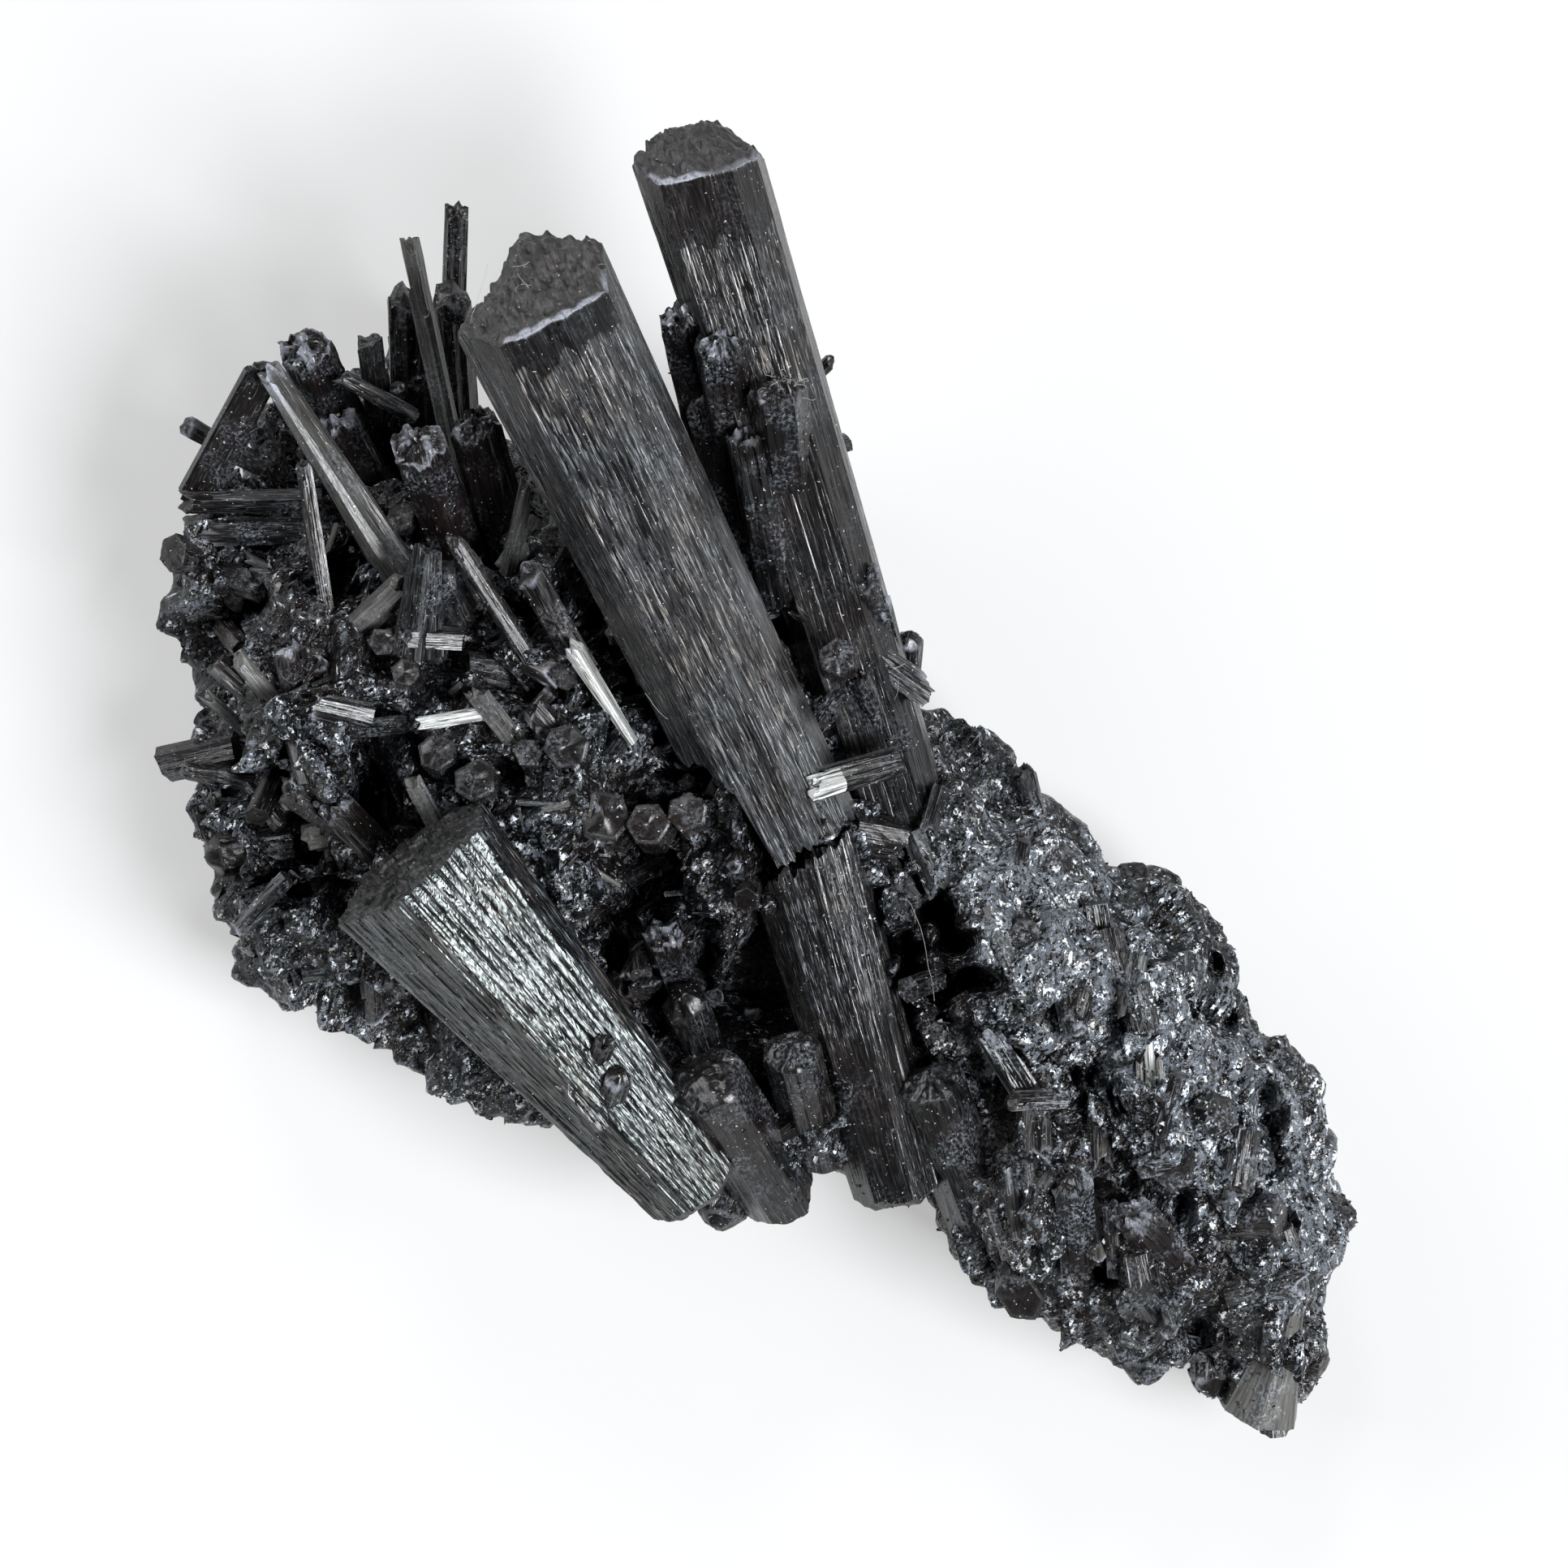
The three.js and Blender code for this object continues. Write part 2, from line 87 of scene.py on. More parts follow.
# Lumps of the mass: centre, then radii.
LUMPS = {
    "left_middle": [[-21.5, 4, 8], [7.8, 8.5, 9.5]],
    "left_low": [[-19.5, -6, 7], [8.5, 7, 9]],
    "left_corner": [[-25, -8.2, 5.5], [3.2, 3.2, 6]],
    "left_rim": [[-28.5, 9.5, 8.5], [2.6, 5.8, 4.5]],
    "left_bulge": [[-27.8, -0.8, 8], [2.5, 4, 5]],
    "inner": [[-11, 3, 8], [8.5, 11, 10]],
    "upper": [[-17, 12.6, 6], [7, 5.4, 6.5]],
    "upper_ledge": [[-20.6, 16.4, 5.5], [3.6, 3.8, 5]],
    "upper_spur": [[-17.8, 20.3, 5], [2.5, 4.4, 3.8]],
    "upper_pocket": [[-24.8, 16.6, 4.6], [2.9, 4, 4.6]],
    "heart": [[0.5, -2, 8], [8.3, 9, 8.5]],
    "behind_tall": [[0.2, 11, 8], [4, 8, 7]],
    "hollow_floor": [[-4, -12.5, 6], [7, 7, 6.3]],
    "under_broad": [[-12.5, -12, 7], [7, 6, 6.5]],
    "foot_of_tall": [[4, -14.8, 7], [5.5, 6.6, 7.2]],
    "tail_neck": [[9, -3, 7.5], [5, 5.4, 6.5]],
    "tail_shoulder": [[11.3, -9, 8], [7.2, 7.3, 8.5]],
    "tail_ridge": [[17.5, -11.2, 7.5], [6.3, 6.3, 8]],
    "tail_crest": [[20.4, -16.2, 7], [6.2, 6.2, 8.7]],
    "tail_flank": [[14.3, -21.4, 7], [4.9, 6.4, 8.5]],
    "tail_belly": [[19.6, -25.9, 6.5], [5.8, 4.9, 7.8]],
    "tail_side": [[23.4, -20, 7], [6, 6.2, 8]],
    "tail_end": [[24.3, -25, 6.5], [5.8, 6, 7.5]],
    "tail_tip": [[26.2, -30, 6], [3.2, 4.2, 5.8]],
}

# Large prisms: tip, foot, width at the tip and at the foot, section and tip.
LARGE = {
    "tall_left": [[-12.2, 25, 26.8], [1.8, -4, 15], 8.7, 7.2, TALL_LEFT_TOP, TALL_LEFT_TIP],
    "tall_left_root": [[1.7, -3, 15.4], [7.3, -22.7, 10.6], 6.2, 5, TALL_LEFT_CORNERS, ROOT_TIP],
    "tall_right": [[-3.6, 31.8, 21], [7.8, -4.5, 11.5], 6.6, 5, TALL_RIGHT_CORNERS, TALL_RIGHT_TIP],
    "broad": [[-18.2, -4.6, 20.2], [-3, -22.4, 13.4], 10, 5.6, BROAD_CORNERS, BROAD_TIP],
    "shoulder": [[-0.7, 6.6, 18.4], [1.8, -2.8, 14], 3.7, 4, NINE_SIDES, LEVEL_TIP],
    "front_stub": [[-3.3, -15.5, 18], [0.9, -22.6, 9], 4.4, 4.3, NINE_SIDES, LEVEL_TIP],
    "side_stub": [[1.3, -14.1, 16.6], [2.8, -20.2, 9.5], 3.2, 3.2, NINE_SIDES, LEVEL_TIP],
    "tail_edge_prism": [[8.4, -15.6, 14.6], [12, -25.6, 8], 3.8, 3.6, NINE_SIDES, LEVEL_TIP],
}

# Prisms that show one by one: tip, foot, width at the tip, and at the foot where it differs.
SMALL = {
    # Upright stubs between the tall prisms
    "mid_left": [[-4.5, 23.8, 19.8], [-2.8, 16, 14], 2.6],
    "mid_front": [[-2.3, 22.2, 21.4], [-0.8, 14.5, 15.2], 3.1],
    "mid_right": [[0.6, 19.8, 21.7], [1.8, 12, 15.2], 3.2],
    "mid_deep": [[-2.6, 20.2, 17], [0.2, 8.6, 13], 4.2],
    "mid_low": [[-1, 17.6, 19.9], [0.8, 9, 16], 2.7],

    # The spray at the upper left, open underneath
    "roof_left": [[-25.7, 21.1, 17], [-29.9, 14.4, 11.5], 2.2],
    "roof_block": [[-24, 22.2, 15.5], [-21.8, 17, 7], 3.1],
    "roof_blade": [[-25.8, 21.2, 18.5], [-18.6, 9.9, 15], 1.6, 2.7],
    "roof_sliver": [[-23.9, 16.2, 17], [-22.4, 6.6, 15.6], 1.2, 0.9],
    "level_bar": [[-30.8, 14.2, 12.6], [-23.2, 14.3, 12.6], 1.5],
    "level_bar_under": [[-29.9, 12.7, 12.2], [-22.8, 12.8, 12], 1.7],
    "pale_round": [[-30.6, 18.4, 11], [-26.6, 16.2, 8.5], 1.4],
    "roof_brace": [[-29, 17.2, 11.5], [-28.2, 11.5, 9.5], 1.6],
    "spire_front": [[-18.4, 27.6, 18.6], [-15.8, 14.4, 11.2], 1.35],
    "spire_back": [[-16.1, 29.7, 13.5], [-16.6, 19, 8], 1.55],
    "spire_collar": [[-16.4, 25.2, 14], [-16.2, 18, 6], 2.4],
    "back_post": [[-19, 25.6, 10.5], [-19, 17, 5.5], 2.3],
    "back_wall": [[-17.7, 24.4, 8.5], [-17.8, 16, 5], 4.2],
    "back_tooth": [[-20.8, 23, 12.5], [-20.4, 18, 7], 1.7],
    "bridge": [[-22.2, 20.7, 15.6], [-18.3, 18.6, 13.5], 1.1],
    "ledge_block": [[-22.6, 18.6, 12.5], [-20.4, 14.5, 8], 2.6],
    "twin_left": [[-18, 17.2, 18.6], [-16, 11.6, 11.5], 3.3],
    "twin_right": [[-15.1, 18.2, 17.6], [-13.4, 11.6, 11], 2.9],
    "side_blade": [[-12.2, 15.2, 18.6], [-13.4, 10.4, 16], 1.1],

    # The jumble on the left mass
    "needle": [[-16.1, 12.2, 20.2], [-12.2, 6, 17.2], 1.3],
    "tooth": [[-12.2, 10.6, 20.2], [-9.4, 5.6, 17], 2.1],
    "sliver": [[-10.1, 6.8, 19.8], [-6.8, 1.6, 18], 1.3, 0.7],
    "plate": [[-17.2, 10.2, 19.2], [-16, 7.6, 11], 3.2],
    "plate_face": [[-17.3, 12, 20.4], [-17.9, 6.2, 18.3], 1.8, 3],
    "pale_bar": [[-18.5, 9.8, 19], [-21.6, 7.2, 16.2], 1.7],
    "short_bar": [[-18.8, 7, 19.6], [-15.8, 6.9, 18.4], 1.6],
    "hex_upper": [[-18.5, 5.2, 20.2], [-18, 4.2, 12], 1.6],
    "hex_beside": [[-19.7, 6.8, 18.8], [-19.2, 5.8, 12], 1.6],
    "white_bar": [[-18.1, 2.5, 20.2], [-14.6, 3.1, 19], 0.9],
    "hex_middle": [[-16.9, 1.1, 20], [-16.5, 0.2, 12], 2.1],
    "hex_right": [[-12.2, 1.1, 19.6], [-12, 0.4, 12], 1.6],
    "hex_tall": [[-10.2, 1.4, 20.8], [-9.8, 0.6, 12], 2.5],
    "hex_wide": [[-14.9, -0.3, 20], [-14.5, -1.1, 12], 2.4],
    "hex_low": [[-8.3, -2.2, 19.6], [-7.9, -2.9, 11], 2.9],
    "hex_low_right": [[-6, -2.6, 20], [-5.6, -3.3, 11], 2.4],
    "hex_edge": [[-4, -2, 20], [-3.7, -2.6, 11], 2.2],
    "hex_small": [[-10.6, -2.5, 18.6], [-10.4, -3, 11], 1.3],
    "pale_stick": [[-18.3, -0.1, 19.4], [-17, -2.6, 17.4], 1.3],
    "ribbed_stick": [[-15.1, 4.5, 19.8], [-12.9, 1.6, 18], 1.4],
    "pale_shard": [[-27.3, 6, 16.6], [-24.5, 2.7, 14.6], 1.3],
    "thin_shard": [[-29.4, 4.2, 12.4], [-27.4, 2.3, 11], 0.9],
    "low_stick": [[-29.2, -0.9, 10.6], [-27.8, -3.8, 9], 1.3],
    "lobe": [[-29.6, -4.4, 9.6], [-25, -3.6, 9], 2.5],
    "horn": [[-30.8, 0.3, 10.6], [-27, -0.6, 9.6], 1.1, 1.8],
    "post": [[-27, -7, 9], [-26.8, -3.6, 8], 0.9],
    "chunk": [[-24.6, 6.6, 17.6], [-24.2, 3.2, 14.4], 2],
    "low_bar": [[-23.4, 2, 17.6], [-18.6, 2.6, 17], 1.3],
    "lintel": [[-25, -0.6, 16.6], [-21, -3.4, 14], 2.2],
    "slab": [[-22.4, -1.6, 17.6], [-19.6, -4.6, 14], 2.4],
    "knuckle": [[-25.2, -10.2, 9.6], [-22.6, -7, 8], 2.2],

    # Around the heart and the right prism's foot
    "hex_heart": [[3.7, 6, 19.6], [4, 5, 11], 2.1],
    "right_bar": [[8.6, 3.9, 15], [4, 7.1, 16], 1.9],
    "right_sliver": [[1.3, 8.6, 17.6], [3.4, 6.8, 15], 0.9],
    "right_cap": [[5.1, 10.4, 17.6], [6.6, 5.8, 13.6], 2, 1.6],
    "right_lump": [[7.5, 7.4, 12], [7.2, 3.4, 8.5], 1.8],
    "bright_peg": [[2, -0.8, 18.9], [6.8, 0.6, 16.8], 1.8],
    "peg_end": [[1.9, -0.95, 19.1], [3.9, -0.35, 18.3], 1.6, 1.5],
    "brown_slab": [[4.7, 5.1, 16.6], [6.7, 1, 14], 1.5],
    "small_blade": [[3.8, 4.3, 16.8], [1.8, 1.2, 15.6], 1],
    "hex_deep": [[7, 1.8, 15.6], [7.1, 0.8, 10], 1.5],
    "shoulder_hex": [[-1, 8.5, 19.4], [-0.2, 6.4, 14], 1.7],
    "shoulder_chip": [[-0.4, 6.6, 19], [0.5, 4.6, 15], 1.5],
    "hollow_stick": [[8, -6.8, 15.4], [6.5, -4.6, 14], 0.9],
    "hollow_ledge": [[-5.4, -8.2, 15.4], [-4.2, -12, 10], 2.4],
    "foot_chip": [[-2.6, -24, 9.6], [-1.2, -19, 8.6], 2.8],
    "foot_chip_left": [[-5.6, -23.2, 9.6], [-4, -18.6, 8], 2.4],
    "hollow_knob": [[-4.4, -11.4, 14.6], [-3, -15, 9], 2.8],
    "wall_bump": [[3.5, 21.6, 15.6], [2.2, 20.2, 15], 0.9],

    # On the tail
    "tail_top_tooth": [[13.4, 0.4, 10.6], [14.4, -3.4, 8.5], 1.5],
    "tail_nodule": [[20, -4.9, 8.4], [17.4, -7.4, 7.5], 2.3],
    "tail_nodule_low": [[22.6, -8, 7.6], [19.6, -10.2, 7], 2.6],
    "tail_round_end": [[28.8, -16.5, 9], [25, -17.4, 8], 2.2],
    "tail_edge_lump": [[31.4, -23.6, 7.6], [26.6, -23, 7], 3],
    "tail_foot_lump": [[20, -32.2, 8], [20.6, -27.4, 7], 3],
    "tail_foot_lump_small": [[14.6, -27.2, 8], [15.4, -24.2, 7], 2.6],
    "tail_under_lump": [[23.6, -33, 7.6], [24, -28, 7], 2.8],
    "tail_bar": [[12.6, -16.9, 16.4], [15.6, -16.8, 15.8], 1.4],
    "tail_needle": [[19.9, -14, 16.4], [20.2, -18.4, 15.6], 0.8],
    "tail_post": [[13.3, -19.4, 15.6], [13.8, -23.4, 14.4], 1.7],
    "tail_bar_low": [[19.2, -20.5, 15.8], [21.9, -20.2, 14.8], 1.4],
    "tail_wedge": [[19, -22.8, 15], [21.8, -26, 11], 2.8],
    "tail_brown": [[15.8, -21, 15.8], [16.2, -25.6, 12.4], 2.7],
    "tail_disc": [[23.4, -17.7, 15.9], [23, -18.2, 9], 2.7],
    "tail_cleavage": [[27.7, -27.8, 11.2], [26.2, -33.6, 8.2], 1.6, 4.6],
    "tail_needle_left": [[19.4, -14.6, 16.2], [19.6, -17.9, 15.4], 0.6],
    "tail_needle_right": [[20.4, -14.8, 16.2], [20.7, -18.2, 15.4], 0.6],
    "tail_grey_post": [[12.7, -20.4, 15.2], [13.2, -24.2, 14], 1.1],
    "tail_grey_post_right": [[17.9, -22.2, 14.6], [18.3, -26.2, 12.4], 1.2],
    "tail_step": [[11.6, -13.6, 16.6], [13.4, -16.4, 15.6], 1.7],
    "tail_ledge": [[19.6, -18.6, 15.9], [22, -18.9, 15.4], 1.2],

    # Crumbs that lie on the broad prism
    "broad_chip": [[-8.2, -13.7, 20], [-8.9, -15.3, 18.4], 1.4],
    "broad_lump": [[-7.4, -15.3, 19.7], [-8, -16.7, 18.2], 1.8],
    "broad_block": [[-10.3, -15.8, 18.9], [-8.3, -18.1, 18], 1.6],
}

# Tones of some: -1 is white, 0 pale grey, over 0.1 black, silvery up to 0.4, and near 1 brown.
TONES = {
    "tall_left": 0.3, "tall_left_root": 0.6, "tall_right": 0.5, "broad": 0.3, "shoulder": 0.5,
    "mid_left": 0.5, "mid_front": 0.55, "mid_right": 0.5, "mid_low": 0.5, "mid_deep": 0.5,
    "roof_left": 0.7, "roof_blade": 0.075, "roof_sliver": 0.5, "spire_front": 0.06,
    "level_bar": 0.45, "level_bar_under": 0.5, "pale_round": 0.085, "pale_bar": 0.045,
    "pale_shard": 0.03, "pale_stick": 0.04, "thin_shard": 0.03, "needle": 0.6, "sliver": -0.5,
    "plate_face": 0.3, "white_bar": -0.8, "ribbed_stick": 0.06, "right_bar": 0.1,
    "bright_peg": 0.3, "peg_end": -1, "hollow_stick": 0.09, "broad_block": 0.6,
    "tail_needle": -0.9, "tail_needle_left": -0.4, "tail_needle_right": -0.2,
    "tail_grey_post": 0.085, "tail_cleavage": 0.04,
}
LARGE_TONE = 0.35

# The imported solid's studs on each kind of ground: how many on a lump, their width, how far they
# stand out and how much they lean.
GROUND = {
    "jumble": {"count": 5, "width": (0.9, 2.1), "reach": (0.7, 2), "lean": 1.2},
    "crust": {"count": 4, "width": (1.4, 2.9), "reach": (0.25, 0.85), "lean": 0.7},
}

# The seed of the first lump's studs, the lowest place for one to start, how far inside another
# lump it is buried, and how deep it is rooted.
FIRST_SEED = 61
LOWEST_START = 1.4
OTHER_LUMP_MARGIN = 0.94
ROOT = 1.6

# How far the surface of a lump waves, as a share of its radii.
LUMP_ROUGHNESS = 0.07

# Deep black holes in the mass: place, radius and depth.
PITS = [
    [-24.4, -5.6, 1.9, 4], [-21.6, -1.3, 1.5, 5], [-8.4, 5, 1.4, 4], [-27.3, 8.8, 1.3, 4],
    [-22.6, 9.6, 1.9, 5], [-15.1, -2.2, 1.2, 4], [2.6, 7.4, 2.6, 6], [-2.4, 16, 2.2, 5],
    [-6.2, -7.4, 2.4, 5], [-4.3, -10.3, 1.9, 5], [-12.2, 7.6, 1.3, 4], [-19.4, 12.6, 1.6, 4],
    [-24.6, 1.2, 1.1, 4], [-13.6, 5.2, 1.1, 3], [-9.5, 9.6, 1, 5], [-8.6, 8.2, 1, 5],
    [-7.8, 6.8, 1, 5], [-7, 5.4, 1, 5], [-6.2, 4, 1, 5], [-5.4, 2.6, 1, 5], [-4.6, 1.1, 1, 5],
    [-15.6, 20, 1.6, 5], [-21.5, 11.6, 1.4, 5], [7.6, -5.8, 0.8, 5], [8.4, -7, 1, 6],
    [9.4, -8.4, 1.4, 6], [7.4, -8.8, 1.1, 6], [8.2, -10.4, 1.5, 6], [9.9, -11, 1.6, 6],
    [11.3, -10.4, 1.3, 5], [6.9, -12.6, 1.3, 5], [5.6, -9.4, 1.4, 5], [6.5, -15.8, 0.9, 6],
    [7.1, -17.4, 1, 6], [7.8, -19, 1, 6], [8.4, -20.6, 0.9, 6], [16.3, -15.8, 0.6, 2.5],
    [17.1, -16.1, 0.6, 2.5], [17.9, -16.6, 0.6, 2.5], [18.5, -17.2, 0.6, 2.5],
    [21.5, -22.8, 0.9, 3], [25.9, -18.4, 1.4, 3.5], [22.8, -29.4, 0.7, 2.5], [23.4, -9.9, 0.5, 2],
    [24.4, -13, 0.5, 2], [17.6, -25.8, 0.8, 3], [27.4, -23.6, 0.6, 2.5], [22.2, -12.4, 0.5, 1.5],
]
PIT_FLOOR = 2.0

# Pits on the tail, which starts at this X, are drawn out along Y.
TAIL_START = 12
TAIL_PIT_SHAPE = (1, 0.62)

# Painted shade: ground painted black all over where shade falls in the hollows and between the prisms: place
# and radius.
PAINTED_SHADE_GROUND = [
    [-1.5, -7.5, 4.5], [-5, -10.5, 3.5], [-1, -13.5, 3], [-7, 9, 3], [1, 14, 4], [2.5, 7.5, 3],
    [-15, 14.5, 3], [8.6, -8.6, 3], [7, -15.5, 2.5],
]

# How finely each kind of crystal is modelled. Ribs are (pitch, depth, length, roundness) in millimetres.
# Jag is the raggedness of a tip, chip its size, and dome how far the rim drops for each radius.
TALL = {"around": 250, "rows": 66, "rings": 44, "coarse": (0.42, 0.024, 6, 0.006),
        "fine": (0.14, 0.012, 2.0, 0), "jag": 0.5, "chip": 0.55, "bulge": 0.9, "dome": 0.0,
        "uneven": 0.0015}
LOW = {"around": 220, "rows": 60, "rings": 8, "coarse": (0.42, 0.02, 4, 0.004),
       "fine": (0.14, 0.01, 1.5, 0), "jag": 0.5, "chip": 0.5, "dome": 0.0, "uneven": 0.0015, "crisp": True}
# The broad prism's listed sides are painted shade: fewer bright lines and less relief make them darker, as a
# face that reflects little light.
BOLD = {"around": 300, "rows": 130, "rings": 34, "coarse": (0.46, 0.12, 8, 0.05),
        "fine": (0.2, 0.065, 1.4, 0), "jag": 0.22, "chip": 0.8, "dome": 0.0, "crisp": True,
        "painted_shade_sides": (0, 5)}
STUBBY = {"around": 90, "rows": 24, "rings": 18, "coarse": (0.5, 0.05, 4, 0.01),
          "fine": (0.16, 0.03, 1.5, 0), "jag": 0.28, "chip": 0.5, "dome": 0.35, "frosted": 0.12, "dull": 0.4}
RUGGED = {"around": 56, "rows": 13, "rings": 7, "coarse": (0.6, 0.14, 3, 0.02), "fine": (0.2, 0.06, 1.5, 0),
          "jag": 0.5, "chip": 0.5, "dome": 0.25, "frosted": 0.42, "dull": 0.6, "crisp": True}
KNOB = {"around": 40, "rows": 8, "rings": 8, "coarse": (0.6, 0.1, 1.5, 0), "fine": (0.25, 0.06, 1.0, 0),
        "jag": 0.2, "chip": 0.4, "dome": 0.65, "frosted": 0.12}
HEXAGON = {"around": 36, "rows": 7, "rings": 5, "coarse": (0.5, 0.03, 5, 0), "fine": (0.2, 0.03, 2.5, 0),
           "jag": 0.1, "chip": 0.5, "dome": 0.08, "frosted": 0.1}
STICK = {"around": 24, "rows": 7, "rings": 3, "coarse": (0.45, 0.07, 3, 0), "fine": (0.2, 0.04, 1.5, 0),
         "jag": 0.5, "chip": 0.45, "dome": 0.1}
SIDE_STICK = {"around": 12, "rows": 4, "rings": 1, "coarse": (0.4, 0.06, 3, 0), "fine": (0.2, 0.03, 1.5, 0),
              "jag": 0.5, "chip": 0.4, "dome": 0.1}
DETAIL = {"tall_left": TALL, "tall_left_root": LOW, "tall_right": TALL, "broad": BOLD}

# Rows of points stand closer together towards a crystal's tip.
TIP_CROWDING = 1.5

# Rings of points over a foot that was broken off.
FOOT_RINGS = 7

# How unevenly the points of a crystal's sides stand out, in millimetres, where its detail doesn't say.
UNEVENNESS = 0.006

# How far apart in the noise the streaks of two crystals may start.
GRAIN_SPREAD = 90

# How far the bare dark band runs down below the frosted rim of each tall prism.
BARE_BAND = {"tall_left": 2.3, "tall_right": 3.9}

# Painted shade: how far below its tip a large prism's upward faces lose their bright lines and go dark, as if
# in shadow, and over what length.
PAINTED_SHADE_BELOW = {"tall_right": (11.0, 6.0), "tall_left_root": (7.0, 6.0)}

# How many degrees each small prism's section is turned further than the one's before it.
TURN_STEP = 17

# Words in a small prism's name that say what it looks like. The rest are broken sticks.
KINDS = [
    [("hex",), HEXAGON],
    [("nodule", "lump", "knob", "round", "disc", "lobe", "foot_chip", "bump", "horn"), KNOB],
    [("mid_", "stub", "block", "wall", "chunk", "knuckle", "slab", "ledge", "wedge", "brown",
      "cleavage", "step", "twin"), RUGGED],
]

# The most that the edges of small prisms, and of those with a clean end, are worn.
MOST_WEAR = 0.8
MOST_HEXAGON_WEAR = 0.12

# The mass that the crystals grow from: the size of its faces, the size and depth of each layer
# of its relief and of its cavities, and the size and the highest place of the faces underneath.
VOXEL = 0.27
RELIEF = {
    "jumble": [(3.0, 1.9), (1.4, 1.0), (0.65, 0.34)],
    "crust": [(2.8, 1.5), (1.2, 0.7), (0.6, 0.32)],
}
CAVITY_SIZE = 2.5
CAVITY_DEPTH = 3.6
UNDERSIDE_CELL = 1.1
UNDERSIDE_TOP = 0.6

# The pale band along the top of the tail: a point on it, and the ways across and along it.
PATINA_MIDDLE = (17.5, -12.5, 12.0)
PATINA_ACROSS = (0.72, 0.69, 0.0)
PATINA_ALONG = (0.69, -0.72, 0.0)

# Broken crystals that lie on the mass or stand in it: how many, their size, how much their
# direction varies, and how near the outline they come.
LYING = {
    "jumble": {"count": 150, "width": (0.8, 2.7), "length": (1.4, 4.4), "spread": 3.0, "margin": 0.96},
    "crust": {"count": 46, "width": (0.9, 2.2), "length": (2, 4.5), "spread": 0.35, "margin": 0.86},
}
STANDING = {
    "jumble": {"count": 150, "width": (0.6, 2.1), "reach": (0.2, 1.3), "lean": 1.3, "margin": 1.0},
    "crust": {"count": 26, "width": (0.9, 1.8), "reach": (-0.2, 0.1), "lean": 0.9, "margin": 0.86},
}
SPLINTERS = {"count": 500, "width": (0.12, 0.42), "length": (0.7, 2.4), "margin": 0.93}

# How many places are drawn for the broken crystals, and how far out of the solid's box one may be.
BROKEN_SAMPLES = 9000
BOX_SLACK = 0.2

# The way that the crystals on the tail lie.
TAIL_GRAIN = (0.12, -1.0, 0.05)

# How many grains of druse grow on the mass and on other pieces, their size and their shape.
DRUSE = {
    "both_masses": 28000, "tail_crystals": 5000, "stubs": 4000, "broken_crystals": 3000,
    "tall_prism_root": 1500,
}
DRUSE_SIZE = (0.05, 0.18)
DRUSE_SHAPE = (1.0, 0.6, 1.5)

# Fibres: where each starts, its first direction in radians, its length, and how it curls at each step.
FIBRES = [
    [7.0, -6.1, 17.4, -0.9, 6.0, -0.02], [-14.9, 22.4, 27.2, 1.5, 3.4, -0.03],
    [-3.6, 31.0, 22.4, 0.6, 1.2, 0.15], [-6.2, 4.2, 22.4, -0.9, 1.9, 0.03],
    [-7.9, 25.6, 27.4, 2.6, 1.6, 0.1],
]
FIBRE_RADIUS = 0.014
FIBRE_STEPS = 14

# Short curls of lint: the middle of each patch, its spread, and how many.
LINT = [
    [-12.2, 24.8, 27.9, 0.8, 4], [-3.6, 31.6, 22.2, 0.6, 3],
    [0.9, 19.6, 22.1, 0.45, 34], [6.6, 5.3, 16.4, 0.3, 4],
]

# Refraction, lower than a clean face has, because dust and tiny roughness dull these.
REFRACTION = 1.52
REFRACTION_SMALL = 1.42
REFRACTION_GROUND = 1.37

# Colours
DARK = (0.0018, 0.0018, 0.0021)
DARK_WARM = (0.0042, 0.0029, 0.0031)
BROWN = (0.0098, 0.0068, 0.0068)
# Pale streaks along the striations, partly the crystal's own and partly painted sheen.
STREAK_GREY_AND_SHEEN = (0.036, 0.037, 0.039)
# Painted highlights: the colours of the bright hair lines that stand in for glints on the striations.
HIGHLIGHT_COOL = (0.185, 0.202, 0.215)
HIGHLIGHT_WARM = (0.22, 0.2, 0.175)
PALE = (0.13, 0.127, 0.118)
WHITE = (0.5, 0.51, 0.5)
FROST = (0.23, 0.24, 0.275)
PATINA = (0.16, 0.177, 0.203)
WOOL = (0.043, 0.037, 0.034)
SPECK = (0.38, 0.375, 0.35)
GRAIN_COOL = (0.007, 0.008, 0.01)
GRAIN_WARM = (0.01, 0.008, 0.0075)
GRAIN_GREY = (0.03, 0.034, 0.04)
GRAIN_PALE = (0.14, 0.156, 0.18)
GRAIN_AND_GLINT_CREAM = (0.42, 0.4, 0.36)
GRAIN_AND_GLINT_SKY = (0.58, 0.65, 0.74)
DRUSE_BLACK = (0.004, 0.004, 0.005)
DRUSE_GREY = (0.09, 0.098, 0.112)
DRUSE_WHITE = (0.45, 0.47, 0.5)
DRUSE_DUST = (0.13, 0.137, 0.15)
LINT_COLOURS = [(0.09, 0.088, 0.083), (0.3, 0.29, 0.27)]

# The noise over which lines and specks come up to full strength.
LINE_RANGE = 0.24
SPECK_RANGE = 0.03

# The depth in metres of the relief of the mass's grains.
GROUND_RELIEF = 0.00006

